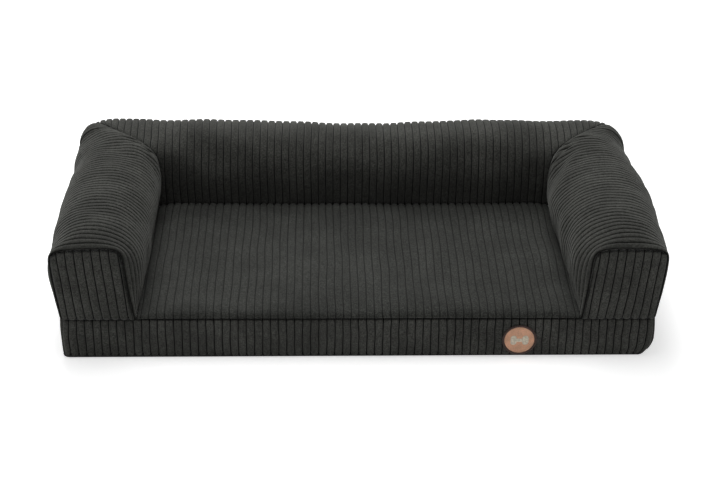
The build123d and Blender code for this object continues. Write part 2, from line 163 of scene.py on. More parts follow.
def cubic_read(field_values: Array, rows: Array, columns: Array) -> Array:
    """Reads a smooth field between the points of a coarse grid.

    Args:
        field_values: The grid's values, rows by columns by anything.
        rows: Row places, in grid steps.
        columns: Column places, in grid steps, of the same shape.

    Returns:
        The values at those places.
    """
    picked = []
    for axis, places in ((0, rows), (1, columns)):
        count = field_values.shape[axis]
        base = np.clip(np.floor(places).astype(int), 0, count - 2)
        index = np.clip(base[..., None] + np.arange(-1, 3), 0, count - 1)
        picked.append((index, cubic_weights(places - base)))
    (row_index, row_weight), (column_index, column_weight) = picked
    total = 0.0
    for i in range(4):
        for j in range(4):
            weight = (row_weight[..., i] * column_weight[..., j])[..., None]
            total = total + weight * field_values[row_index[..., i], column_index[..., j]]
    return total


def curve_read(knots: Array, values: Array, places: Array) -> Array:
    """Reads a smooth curve through rows of values that stand at uneven places.

    Args:
        knots: Where each row stands, rising.
        values: The rows.
        places: Where to read.

    Returns:
        A row for each place.
    """
    slopes = np.gradient(values, knots, axis=0)
    base = np.clip(np.searchsorted(knots, places) - 1, 0, len(knots) - 2)
    gap = (knots[base + 1] - knots[base])[:, None]
    t = (places - knots[base])[:, None] / gap
    start, end = values[base], values[base + 1]
    rise, fall = slopes[base] * gap, slopes[base + 1] * gap
    return (
        start * (1 + 2 * t) * (1 - t) ** 2
        + rise * t * (1 - t) ** 2
        + end * t**2 * (3 - 2 * t)
        - fall * t**2 * (1 - t)
    )


def grid_normals(points: Array) -> Array:
    """Outward normals of a grid whose rows cross its columns left-handedly.

    Args:
        points: Rows by columns by 3.

    Returns:
        Unit normals of the same shape.
    """
    across = np.gradient(points, axis=1)
    along = np.gradient(points, axis=0)
    normals = np.cross(along, across)
    size = np.linalg.norm(normals, axis=-1, keepdims=True)
    return normals / np.maximum(size, 1e-12)


class Drift:
    """A smooth unevenness of cloth, from a few long waves in fixed random directions."""

    def __init__(self, seed: int, wavelength: float, waves: int = 9) -> None:
        """Draws the waves.

        Args:
            seed: The seed of the draw.
            wavelength: The usual length of a wave, in metres.
            waves: How many waves are added.
        """
        draw = np.random.default_rng(seed)
        angles = draw.uniform(0, math.tau, waves)
        lengths = wavelength * draw.uniform(0.7, 1.6, waves)
        self.steps = np.stack([np.cos(angles), np.sin(angles)], axis=-1) * (math.tau / lengths)[:, None]
        self.phases = draw.uniform(0, math.tau, waves)

    def at(self, across: Array, along: Array) -> Array:
        """The unevenness at places on the cloth, about -1 to 1."""
        turns = across[..., None] * self.steps[:, 0] + along[..., None] * self.steps[:, 1] + self.phases
        return np.sin(turns).sum(-1) / math.sqrt(len(self.phases))


def rolled(distance: Array, radius: float) -> Array:
    """How deep a cloth lies, at a distance from its seam, where it rolls into the seam on a radius."""
    inside = np.clip(1 - distance / radius, 0, 1)
    return radius * (1 - np.sqrt(1 - inside**2))


def ramp(distance: Array, width: float) -> Array:
    """A rise from 0 to 1 over a width."""
    return np.clip(distance / width, 0, 1)


def bell(distance: Array, width: float, power: int = 2) -> Array:
    """A hump of height 1 that fades about a width away, and sooner with a higher power."""
    return np.exp(-((distance / width) ** power))


def resample(values: Array, rows: Array, columns: Array) -> Array:
    """The values of a grid, read smoothly wherever the rows and columns given cross."""
    return cubic_read(values, *np.meshgrid(rows, columns, indexing="ij"))


@dataclass(frozen=True)
class Fold:
    """A pucker in a cover: a shallow valley along a line on the cloth, in metres."""

    start: tuple[float, float]
    end: tuple[float, float]
    width: float
    depth: float
    shoulder: float = 0.35
    shoulder_width: float = 2.4
    full_share: float = 0.3
    end_fade: float = 0.05

    @classmethod
    def from_row(
        cls, start: tuple[float, float], end: tuple[float, float], width: float, depth: float
    ) -> "Fold":
        """A pucker from lengths in millimetres.

        Args:
            start: One end, as run and distance from the outer foot.
            end: The other end.
            width: How wide it is.
            depth: How deep it is.

        Returns:
            The pucker.
        """
        ends = ((x * MM, y * MM) for x, y in (start, end))
        return cls(*ends, width * MM, depth * MM)

    def lift(self, across: Array, along: Array) -> Array:
        """How far the cloth moves out at each place, with a soft shoulder on both sides.

        Args:
            across: Places along the run.
            along: Places round the section.

        Returns:
            Distances along the cloth's normal, in metres.
        """
        a, b = np.array(self.start), np.array(self.end)
        line = b - a
        length = float(np.hypot(*line))
        u = ((across - a[0]) * line[0] + (along - a[1]) * line[1]) / length**2
        off = ((across - a[0]) * -line[1] + (along - a[1]) * line[0]) / length
        past = np.clip(np.abs(u - 0.5) - self.full_share, 0, None)
        fade = np.exp(-(past**2) / self.end_fade)
        valley = bell(off, self.width)
        rise = bell(off, self.width * self.shoulder_width) - valley
        return self.depth * fade * (self.shoulder * rise * 2 - valley)


def new_piece(name: str, points: list, faces: list, edges: list | None = None) -> Object:
    """Adds a piece to the scene, from plain lists of points, faces and edges.

    Args:
        name: The piece's name.
        points: Three numbers for each point.
        faces: Point numbers for each face.
        edges: Point numbers for each edge, or None where the faces say them.

    Returns:
        The new object.
    """
    mesh = bpy.data.meshes.new(name)
    mesh.from_pydata(points, edges or [], faces)
    piece = bpy.data.objects.new(name, mesh)
    bpy.context.scene.collection.objects.link(piece)
    return piece


def settle(piece: Object) -> None:
    """Turns what a piece's modifiers give into its own plain mesh.

    Args:
        piece: The piece.
    """
    bpy.context.view_layer.update()
    graph = bpy.context.evaluated_depsgraph_get()
    mesh = bpy.data.meshes.new_from_object(piece.evaluated_get(graph), depsgraph=graph)
    old = piece.data
    piece.modifiers.clear()
    piece.data = mesh
    bpy.data.meshes.remove(old)
    mesh.name = piece.name


def thicken(piece: Object, wall: str, thickness: float, offset: float = -1.0) -> None:
    """Gives a sheet its thickness.

    Args:
        piece: The sheet.
        wall: What the thickness is called.
        thickness: How thick the sheet gets, in metres.
        offset: -1 where it grows inwards, 0 where it grows both ways.
    """
    solidify = piece.modifiers.new(wall, "SOLIDIFY")
    solidify.thickness = thickness
    solidify.offset = offset
    settle(piece)


def shade_smooth(mesh: Mesh, smooth: bool = True) -> None:
    """Sets every face of a mesh to smooth or flat shading."""
    mesh.polygons.foreach_set("use_smooth", np.full(len(mesh.polygons), smooth))


def grid_faces(rows: int, columns: int, flip: bool, keep: Array | None = None) -> Array:
    """The quads of a grid of points.

    Args:
        rows: Count of rows.
        columns: Count of columns.
        flip: Whether the faces are turned over.
        keep: Which cells are kept, or None for all.

    Returns:
        Four point numbers for each quad.
    """
    index = np.arange(rows * columns).reshape(rows, columns)
    quads = np.stack([index[:-1, :-1], index[1:, :-1], index[1:, 1:], index[:-1, 1:]], axis=-1)
    quads = quads[keep] if keep is not None else quads.reshape(-1, 4)
    return quads[:, ::-1] if flip else quads


@dataclass
class ClothGrid:
    """A panel of cloth as a grid of points, with each point's place on the flat cloth.

    across runs over the ribs and along runs with them, both in metres. ease is how much of
    the ribs' height is left: 1 on open cloth, less where the cloth is sewn down. seam is the
    distance to the nearest seam. out is the way that the ribs stand, where that isn't the
    cloth's own normal.
    """

    points: Array
    across: Array
    along: Array
    ease: Array
    flip: bool = False
    keep: Array | None = None
    seam: Array | float = 1.0
    out: Array | None = None

    def piece(self, name: str) -> Object:
        """Builds the panel as a mesh with its cloth places as attributes and a UV map.

        Args:
            name: The piece's name.

        Returns:
            The new object.
        """
        rows, columns = self.points.shape[:2]
        faces = grid_faces(rows, columns, self.flip, self.keep)
        piece = new_piece(name, self.points.reshape(-1, 3).tolist(), faces.tolist())
        mesh = piece.data
        labels = {"wale": self.across, "thread": self.along, "ease": self.ease, "seam": self.seam}
        for label, values in labels.items():
            layer = mesh.attributes.new(label, "FLOAT", "POINT")
            spread = np.broadcast_to(values, (rows, columns))
            layer.data.foreach_set("value", spread.ravel().astype(np.float32))
        if self.out is not None:
            layer = mesh.attributes.new("out", "FLOAT_VECTOR", "POINT")
            spread = np.broadcast_to(self.out, self.points.shape)
            layer.data.foreach_set("vector", spread.ravel().astype(np.float32))
        cleaner = bmesh.new()
        cleaner.from_mesh(mesh)
        bmesh.ops.remove_doubles(cleaner, verts=cleaner.verts, dist=MERGE_DISTANCE)
        loose = [v for v in cleaner.verts if not v.link_faces]
        bmesh.ops.delete(cleaner, geom=loose, context="VERTS")
        cleaner.to_mesh(mesh)
        cleaner.free()
        self.unwrap(mesh)
        shade_smooth(mesh)
        return piece

    def unwrap(self, mesh: Mesh) -> None:
        """Lays the panel's UV map out as its flat cloth.

        Args:
            mesh: The panel's mesh, with its cloth places as attributes.
        """
        corners = np.zeros(len(mesh.loops), np.int32)
        mesh.loops.foreach_get("vertex_index", corners)
        places = np.zeros((len(mesh.vertices), 2), np.float32)
        for axis, label in enumerate(("wale", "thread")):
            column = np.zeros(len(mesh.vertices), np.float32)
            mesh.attributes[label].data.foreach_get("value", column)
            places[:, axis] = column
        layer = mesh.uv_layers.new(name="cloth")
        layer.data.foreach_set("uv", places[corners].ravel())


class NodeGraph:
    """Adds and joins the nodes of one shader or geometry tree."""

    def __init__(self, tree: NodeTree) -> None:
        """Starts on a tree with no nodes of its own."""
        self.tree = tree

    def node(self, kind: str, inputs: dict | None = None, **settings: object) -> Node:
        """Adds a node.

        Args:
            kind: The node's type name.
            inputs: A value or an output socket for each input, by name or number.
            settings: The node's own properties.

        Returns:
            The new node.
        """
        made = self.tree.nodes.new(kind)
        for key, value in settings.items():
            setattr(made, key, value)
        self.fill(made, inputs or {})
        return made

    def fill(self, node: Node, inputs: dict) -> None:
        """Joins or sets several inputs of a node, by name or number."""
        for key, value in inputs.items():
            self.feed(node.inputs[key], value)

    def feed(self, socket: NodeSocket, value: object) -> None:
        """Joins an output to an input socket, or sets the socket's own value.

        Args:
            socket: The input socket.
            value: An output socket, or a plain value.
        """
        if isinstance(value, NodeSocket):
            self.tree.links.new(value, socket)
        else:
            socket.default_value = value

    def math(self, operation: str, first: object, second: object = 0.0) -> NodeSocket:
        """The output of a Math node on two sockets or numbers."""
        return self.node("ShaderNodeMath", {0: first, 1: second}, operation=operation).outputs[0]

    def place(self) -> NodeSocket:
        """Places on the object, in its own coordinates."""
        return self.node("ShaderNodeTexCoord").outputs["Object"]

    def product(self, first: object, *others: object) -> NodeSocket:
        """The output of Math nodes that multiply sockets or numbers in turn."""
        for other in others:
            first = self.math("MULTIPLY", first, other)
        return first

    def scaled(self, vector: object, amount: object) -> NodeSocket:
        """A vector times a number."""
        made = self.node("ShaderNodeVectorMath", {0: vector, "Scale": amount}, operation="SCALE")
        return made.outputs[0]

    def spread(
        self, value: object, low: float, high: float, to_low: float, to_high: float
    ) -> NodeSocket:
        """A number moved smoothly from one span to another, and kept inside it.

        Args:
            value: The number.
            low: Where the first span starts.
            high: Where it ends.
            to_low: Where the other span starts.
            to_high: Where it ends.

        Returns:
            The moved number.
        """
        inputs = {"Value": value, 1: low, 2: high, 3: to_low, 4: to_high}
        return self.node("ShaderNodeMapRange", inputs, interpolation_type="SMOOTHSTEP").outputs[0]

    def about_one(
        self, value: object, share: float, low: float = 0.3, high: float = 0.7
    ) -> NodeSocket:
        """An amount that noise moves up to a share below and above 1."""
        return self.spread(value, low, high, 1 - share, 1 + share)


def groove_distance(graph: NodeGraph, wale: object, pitch: object) -> NodeSocket:
    """The distance from the nearest groove between two ribs, as a share of the pitch, 0 to 0.5."""
    turn = graph.math("FRACT", graph.math("DIVIDE", wale, pitch))
    return graph.math("SUBTRACT", 0.5, graph.math("ABSOLUTE", graph.math("SUBTRACT", turn, 0.5)))


@dataclass(frozen=True)
class Finish:
    """A finish of one piece: its colour and how rough it is."""

    colour: tuple[float, float, float]
    roughness: float

    def material(self, name: str) -> Material:
        """Builds the finish's material.

        Args:
            name: The material's name.

        Returns:
            The new material.
        """
        material = bpy.data.materials.new(name)
        material.use_nodes = True
        material.diffuse_color = (*self.colour, 1)
        graph = NodeGraph(material.node_tree)
        shader = material.node_tree.nodes["Principled BSDF"]
        graph.fill(shader, {"Roughness": self.roughness, "Base Color": (*self.colour, 1)})
        self.paint(graph, shader)
        return material

    def paint(self, graph: NodeGraph, shader: Node) -> None:
        """Gives the material its pattern. Each kind of finish has its own."""
        raise NotImplementedError

    def tint(self, graph: NodeGraph, amount: object) -> NodeSocket:
        """The finish's colour times a changing amount."""
        return graph.scaled(self.colour, amount)

    def bump(
        self, graph: NodeGraph, shader: Node, height: object, distance: float, strength: float
    ) -> None:
        """Gives the shader a bumped normal.

        Args:
            graph: The material's graph.
            shader: Its shader.
            height: The bumps' height, from 0 to 1.
            distance: The height of 1, in metres.
            strength: How much of the bumps shows.
        """
        inputs = {"Height": height, "Distance": distance, "Strength": strength}
        graph.feed(shader.inputs["Normal"], graph.node("ShaderNodeBump", inputs).outputs[0])

    def noise(self, graph: NodeGraph, scale: float, detail: float = 2.0) -> NodeSocket:
        """Noise on the object's own places."""
        inputs = {"Vector": graph.place(), "Scale": scale, "Detail": detail}
        return graph.node("ShaderNodeTexNoise", inputs).outputs[0]


@dataclass(frozen=True)
class Corduroy(Finish):
    """Wide-rib corduroy: soft cut pile on the ribs, the darker ground cloth between them."""

    colour: tuple[float, float, float] = (0.0424, 0.043, 0.0388)
    roughness: float = 0.95
    pitch: float = RIB_PITCH
    sheen: float = 0.2
    brushed: float = 0.22
    streaked: float = 0.18
    speckled: float = 0.44
    ground: float = 0.03
    groove_fade: tuple[float, float] = (0.035, 0.095)
    seam_fade: tuple[float, float] = (0.25 * MM, 1.9 * MM)
    seam_shade: float = 0.12
    patch_grain: float = 19.0
    streak_grain: float = 260.0
    tuft_grain: float = 620.0
    relief: float = 0.5 * MM
    sheen_tint: tuple[float, float, float, float] = (0.75, 0.76, 0.72, 1)

    def paint(self, graph: NodeGraph, shader: Node) -> None:
        """Paints the ribs' pile, the grooves between them and the shade at the seams.

        Args:
            graph: The material's graph.
            shader: Its shader.
        """
        wale = graph.node("ShaderNodeAttribute", attribute_name="wale").outputs["Fac"]
        off_groove = groove_distance(graph, wale, self.pitch)
        pile = graph.spread(off_groove, *self.groove_fade, self.ground, 1.0)
        patches = graph.about_one(self.noise(graph, self.patch_grain, 3.0), self.brushed)
        streaks = graph.about_one(self.noise(graph, self.streak_grain), self.streaked, 0.25, 0.75)
        tufts = self.noise(graph, self.tuft_grain, 3.0)
        speckle = graph.about_one(tufts, self.speckled)
        to_seam = graph.node("ShaderNodeAttribute", attribute_name="seam").outputs["Fac"]
        shade = graph.spread(to_seam, *self.seam_fade, self.seam_shade, 1.0)
        amount = graph.product(pile, patches, graph.product(streaks, speckle), shade)
        inputs = {
            "Base Color": self.tint(graph, amount),
            "Sheen Weight": self.sheen,
            "Sheen Roughness": 0.5,
            "Sheen Tint": self.sheen_tint,
            "Specular IOR Level": 0.12,
        }
        graph.fill(shader, inputs)
        self.bump(graph, shader, tufts, self.relief, 0.6)


@dataclass(frozen=True)
class Woven(Finish):
    """A plain woven cloth or tape, with its crossing threads."""

    colour: tuple[float, float, float] = (0.03, 0.03, 0.03)
    roughness: float = 0.85
    thread: float = 0.7 * MM
    sheen: float = 0.15
    wear_grain: float = 60.0
    relief: float = 0.2 * MM

    def paint(self, graph: NodeGraph, shader: Node) -> None:
        """Paints two crossing sets of threads.

        Args:
            graph: The material's graph.
            shader: Its shader.
        """
        split = graph.node("ShaderNodeSeparateXYZ", {0: graph.place()})
        upright = graph.math("ADD", split.outputs["Y"], split.outputs["Z"])
        turn = math.tau / self.thread
        weft, warp = (
            graph.math("SINE", graph.product(axis, turn)) for axis in (split.outputs["X"], upright)
        )
        weave = graph.product(weft, warp)
        wear = graph.about_one(self.noise(graph, self.wear_grain, 3.0), 0.15)
        amount = graph.product(graph.spread(weave, -1.0, 1.0, 0.7, 1.2), wear)
        graph.fill(shader, {"Base Color": self.tint(graph, amount), "Sheen Weight": self.sheen})
        self.bump(graph, shader, weave, self.relief, 0.6)


@dataclass(frozen=True)
class Thread(Finish):
    """Twisted sewing or embroidery thread, with a soft shine along the twist."""

    twist: float = 0.9 * MM
    sheen: float = 0.06
    mottle_grain: float = 400.0
    relief: float = 0.1 * MM

    def paint(self, graph: NodeGraph, shader: Node) -> None:
        """Paints the twist as fine slanted stripes.

        Args:
            graph: The material's graph.
            shader: Its shader.
        """
        split = graph.node("ShaderNodeSeparateXYZ", {0: graph.place()})
        flat = graph.math("ADD", split.outputs["X"], split.outputs["Z"])
        slanted = graph.math("ADD", flat, split.outputs["Y"])
        stripes = graph.math("SINE", graph.product(slanted, math.tau / self.twist))
        mottle = graph.about_one(self.noise(graph, self.mottle_grain), 0.15)
        amount = graph.product(graph.spread(stripes, -1.0, 1.0, 0.8, 1.1), mottle)
        graph.fill(shader, {"Base Color": self.tint(graph, amount), "Sheen Weight": self.sheen})
        self.bump(graph, shader, stripes, self.relief, 0.5)


@dataclass(frozen=True)
class Felt(Finish):
    """Pressed felt or loose fibre, with a cloudy surface."""

    grain: float = 900.0
    clouds: float = 12.0
    sheen: float = 0.3
    relief: float = 0.3 * MM

    def paint(self, graph: NodeGraph, shader: Node) -> None:
        """Paints two sizes of noise.

        Args:
            graph: The material's graph.
            shader: Its shader.
        """
        fibres = self.noise(graph, self.grain, 4.0)
        clouds = graph.about_one(self.noise(graph, self.grain / self.clouds), 0.1)
        amount = graph.product(graph.spread(fibres, 0.3, 0.7, 0.84, 1.12), clouds)
        graph.fill(shader, {"Base Color": self.tint(graph, amount), "Sheen Weight": self.sheen})
        self.bump(graph, shader, fibres, self.relief, 0.6)


@dataclass(frozen=True)
class Hard(Finish):
    """Moulded plastic or painted metal, with handling marks in its roughness."""

    metal: float = 0.0
    coat: float = 0.0
    mark_grain: float = 700.0
    relief: float = 0.05 * MM

    def paint(self, graph: NodeGraph, shader: Node) -> None:
        """Makes it rougher where it has been handled.

        Args:
            graph: The material's graph.
            shader: Its shader.
        """
        marks = self.noise(graph, self.mark_grain, 3.0)
        rough = graph.spread(marks, 0.3, 0.7, self.roughness * 0.8, min(1.0, self.roughness * 1.25))
        worn = graph.spread(marks, 0.2, 0.8, 0.9, 1.15)
        inputs = {
            "Roughness": rough,
            "Base Color": self.tint(graph, worn),
            "Metallic": self.metal,
            "Coat Weight": self.coat,
        }
        graph.fill(shader, inputs)
        self.bump(graph, shader, marks, self.relief, 0.3)


@dataclass(frozen=True)
class GeometryRule:
    """A geometry nodes tree that is built in code, run on a piece and settled into its mesh."""

    def tree(self) -> NodeTree:
        """Builds the tree. Each rule has its own."""
        raise NotImplementedError

    def open_tree(
        self, name: str, sockets: dict[str, tuple[str, object]]
    ) -> tuple[NodeTree, NodeGraph, Node]:
        """Starts a tree with a geometry input, named inputs and a geometry output.

        Args:
            name: The tree's name.
            sockets: For each input, its socket type and its usual value.

        Returns:
            The tree, its graph and its input node.
        """
        tree = bpy.data.node_groups.new(name, "GeometryNodeTree")
        tree.interface.new_socket("Geometry", in_out="INPUT", socket_type="NodeSocketGeometry")
        for label, (kind, value) in sockets.items():
            made = tree.interface.new_socket(label, in_out="INPUT", socket_type=kind)
            if value is not None:
                made.default_value = value
        tree.interface.new_socket("Geometry", in_out="OUTPUT", socket_type="NodeSocketGeometry")
        graph = NodeGraph(tree)
        return tree, graph, graph.node("NodeGroupInput")

    def close_tree(self, graph: NodeGraph, geometry: object, material: object) -> None:
        """Ends a tree with real geometry that carries its material.

        Args:
            graph: The tree's graph.
            geometry: The geometry that comes out.
            material: The material that it gets.
        """
        real = graph.node("GeometryNodeRealizeInstances", {"Geometry": geometry})
        inputs = {"Geometry": real.outputs[0], "Material": material}
        dressed = graph.node("GeometryNodeSetMaterial", inputs)
        graph.node("NodeGroupOutput", {"Geometry": dressed.outputs[0]})

    def run(self, piece: Object, values: dict[str, object]) -> None:
        """Runs the rule on a piece and keeps the result as the piece's mesh.

        Args:
            piece: The piece.
            values: The tree's inputs by name.
        """
        tree = self.tree()
        modifier = piece.modifiers.new(tree.name, "NODES")
        modifier.node_group = tree
        names = {
            item.name: item.identifier
            for item in tree.interface.items_tree
            if item.item_type == "SOCKET" and item.in_out == "INPUT"
        }
        for label, value in values.items():
            modifier[names[label]] = value
        settle(piece)
        bpy.data.node_groups.remove(tree)


@dataclass(frozen=True)
class CordRibs(GeometryRule):
    """Raises the ribs of corduroy: a rounded rib of pile over each pitch, a narrow groove between."""

    pitch: float = RIB_PITCH
    groove: float = 0.95 * MM
    narrow_groove: float = 0.88 * MM
    depth: float = 2.9 * MM
    crown: float = 0.4 * MM
    unevenness: float = 0.2 * MM
    cloth: float = 1.2 * MM
    end_clearance: float = 0.3 * MM
    seam_share: float = 0.7
    seed: int = 4

    def tree(self) -> NodeTree:
        """Builds the tree that moves each point out by the rib's height there.

        Returns:
            The new tree.
        """
        sockets = {
            "Pitch": ("NodeSocketFloat", self.pitch),
            "Groove width": ("NodeSocketFloat", self.groove),
            "Groove depth": ("NodeSocketFloat", self.depth),
            "Rib crown": ("NodeSocketFloat", self.crown),
            "Unevenness": ("NodeSocketFloat", self.unevenness),
            "Seed": ("NodeSocketFloat", float(self.seed)),
            "Cloth": ("NodeSocketMaterial", None),
        }
        tree, graph, given = self.open_tree("cord_ribs", sockets)
        pitch = given.outputs["Pitch"]
        wale, ease = (
            graph.node("GeometryNodeInputNamedAttribute", {"Name": label}, data_type="FLOAT").outputs[0]
            for label in ("wale", "ease")
        )
        share = groove_distance(graph, wale, pitch)
        ratio = graph.math("DIVIDE", graph.product(share, pitch), given.outputs["Groove width"])
        falloff = graph.math("EXPONENT", graph.product(ratio, ratio, -1.0))
        off_centre = graph.math("SUBTRACT", 0.5, share)
        round_top = graph.math("SUBTRACT", 1.0, graph.product(off_centre, off_centre, 4.0))
        raised = graph.product(round_top, given.outputs["Rib crown"])
        height = graph.math("SUBTRACT", raised, graph.product(falloff, given.outputs["Groove depth"]))
        inputs = {"W": given.outputs["Seed"], "Scale": 90.0, "Detail": 1.0}
        noise = graph.node("ShaderNodeTexNoise", inputs, noise_dimensions="4D").outputs[0]
        rough = graph.product(graph.math("SUBTRACT", noise, 0.5), given.outputs["Unevenness"], 2.0)
        total = graph.math("ADD", graph.product(height, ease), rough)
        own = graph.node("GeometryNodeInputNormal").outputs[0]
        out = graph.node("GeometryNodeInputNamedAttribute", {"Name": "out"}, data_type="FLOAT_VECTOR")
        way = {"Switch": out.outputs["Exists"], "False": own, "True": out.outputs[0]}
        outward = graph.node("GeometryNodeSwitch", way, input_type="VECTOR").outputs[0]
        inputs = {"Geometry": given.outputs["Geometry"], "Offset": graph.scaled(outward, total)}
        moved = graph.node("GeometryNodeSetPosition", inputs)
        self.close_tree(graph, moved.outputs[0], given.outputs["Cloth"])
        return tree

    def end_rounding(self, wale: Array, amount: float) -> Array:
        """How much sooner a rib's edges than its middle sink where it ends at a seam."""
        return amount * (2 * np.abs((wale / self.pitch) % 1 - 0.5)) ** 3

    def columns(self, low: float, high: float) -> Array:
        """Places across the ribs that catch each groove's walls and each rib's top.

        Args:
            low: Where the cloth starts, in metres.
            high: Where it ends.

        Returns:
            Rising places from low to high.
        """
        share = np.array(RIB_COLUMNS)
        first, last = math.floor(low / self.pitch), math.ceil(high / self.pitch)
        places = (np.arange(first, last)[:, None] + share[None, :]).ravel() * self.pitch
        inner = places[(places > low + self.end_clearance) & (places < high - self.end_clearance)]
        return np.concatenate([[low], inner, [high]])


@dataclass(frozen=True)
class StitchRow(GeometryRule):
    """Lays stitches, teeth or dots along a piece's edges, each turned by a slant.

    The piece is a mesh of edges only. size is a stitch's length, width and height. uneven is
    how far a stitch may turn from its slant, in radians. block gives square stitches, as for
    teeth.
    """

    pitch: float = 3 * MM
    size: tuple[float, float, float] = (2.4 * MM, 0.7 * MM, 0.5 * MM)
    slant: float = 0.0
    outward: tuple[float, float, float] = (0.0, -1.0, 0.0)
    seed: int = 3
    block: bool = False
    uneven: float = 0.06

    def tree(self) -> NodeTree:
        """Builds the tree that turns edges into a row of stitches.

        Returns:
            The new tree.
        """
        sockets = {
            "Pitch": ("NodeSocketFloat", self.pitch),
            "Stitch size": ("NodeSocketVector", self.size),
            "Slant": ("NodeSocketFloat", self.slant),
            "Outward": ("NodeSocketVector", self.outward),
            "Seed": ("NodeSocketInt", self.seed),
            "Thread": ("NodeSocketMaterial", None),
        }
        tree, graph, given = self.open_tree("stitch_row", sockets)
        line = graph.node("GeometryNodeMeshToCurve", {"Mesh": given.outputs["Geometry"]}).outputs[0]
        inputs = {"Curve": line, "Length": given.outputs["Pitch"]}
        spots = graph.node("GeometryNodeCurveToPoints", inputs, mode="LENGTH")
        inputs = {"Vector": spots.outputs["Tangent"]}
        along = graph.node("FunctionNodeAlignRotationToVector", inputs, axis="X")
        inputs = {"Rotation": along.outputs[0], "Vector": given.outputs["Outward"]}
        upright = graph.node("FunctionNodeAlignRotationToVector", inputs, axis="Z", pivot_axis="X")
        inputs = {2: -self.uneven, 3: self.uneven, "Seed": given.outputs["Seed"]}
        jitter = graph.node("FunctionNodeRandomValue", inputs, data_type="FLOAT")
        angle = graph.math("ADD", given.outputs["Slant"], jitter.outputs[1])
        inputs = {"Axis": (0.0, 0.0, 1.0), "Angle": angle}
        turn = graph.node("FunctionNodeAxisAngleToRotation", inputs).outputs[0]
        inputs = {"Rotation": upright.outputs[0], "Rotate By": turn}
        turned = graph.node("FunctionNodeRotateRotation", inputs, rotation_space="LOCAL")
        if self.block:
            shape = graph.node("GeometryNodeMeshCube", {"Size": (1.0, 1.0, 1.0)}).outputs[0]
        else:
            inputs = {"Segments": 8, "Rings": 6, "Radius": 0.5}
            sphere = graph.node("GeometryNodeMeshUVSphere", inputs).outputs[0]
            shape = graph.node("GeometryNodeSetShadeSmooth", {"Geometry": sphere}).outputs[0]
        inputs = {
            "Points": spots.outputs["Points"],
            "Instance": shape,
            "Rotation": turned.outputs[0],
            "Scale": given.outputs["Stitch size"],
        }
        laid = graph.node("GeometryNodeInstanceOnPoints", inputs)
        self.close_tree(graph, laid.outputs[0], given.outputs["Thread"])
        return tree

    def lay(self, name: str, lines: list[Array], thread: Material) -> Object:
        """Lays the row along one or more lines.

        Args:
            name: The piece's name.
            lines: Points of each line.
            thread: The stitches' material.

        Returns:
            The new object.
        """
        points, edges = [], []
        for line in lines:
            first = len(points)
            points += [tuple(p) for p in line]
            edges += [(k, k + 1) for k in range(first, len(points) - 1)]
        piece = new_piece(name, points, [], edges)
        self.run(piece, {"Thread": thread})
        return piece


def ring_faces(rings: int, count: int, first: int = 0) -> list[tuple[int, ...]]:
    """The faces of a closed solid through rings of points, with both ends closed.

    Args:
        rings: How many rings there are.
        count: How many points each of them has.
        first: The number of the first point.

    Returns:
        Point numbers for each face.
    """
    faces = []
    for start in range(first, first + (rings - 1) * count, count):
        for k in range(count):
            n = (k + 1) % count
            faces.append((start + k, start + n, start + count + n, start + count + k))
    last = first + (rings - 1) * count
    return faces + [tuple(range(first, first + count)), tuple(range(last, last + count))]


def loft(name: str, rings: list[Array], material: Material) -> Object:
    """A closed solid through rings of equal point counts, closed by its first and last ring.

    Args:
        name: The piece's name.
        rings: Points of each ring.
        material: The piece's material.

    Returns:
        The new object.
    """
    faces = ring_faces(len(rings), len(rings[0]))
    piece = new_piece(name, np.concatenate(rings).tolist(), faces)
    piece.data.materials.append(material)
    tidy_normals(piece)
    shade_smooth(piece.data)
    return piece


def rounded_outline(
    half_x: float, half_y: float, front: float, rear: float, steps: int = 9
) -> Array:
    """A rectangle in plan with small front corners and larger rear ones.

    Args:
        half_x: Half its width.
        half_y: Half its depth.
        front: Radius of the front corners.
        rear: Radius of the rear corners.
        steps: Points round each corner.

    Returns:
        Points anticlockwise from the right front corner, at a height of nought.
    """
    points = []
    corners = ((1, -1, front, -90), (1, 1, rear, 0), (-1, 1, rear, 90), (-1, -1, front, 180))
    for x, y, radius, start in corners:
        for angle in np.radians(np.linspace(start, start + 90, steps)):
            centre = np.array([x * (half_x - radius), y * (half_y - radius)])
            points.append([*(centre + radius * np.array([math.cos(angle), math.sin(angle)])), 0.0])
    return np.array(points)


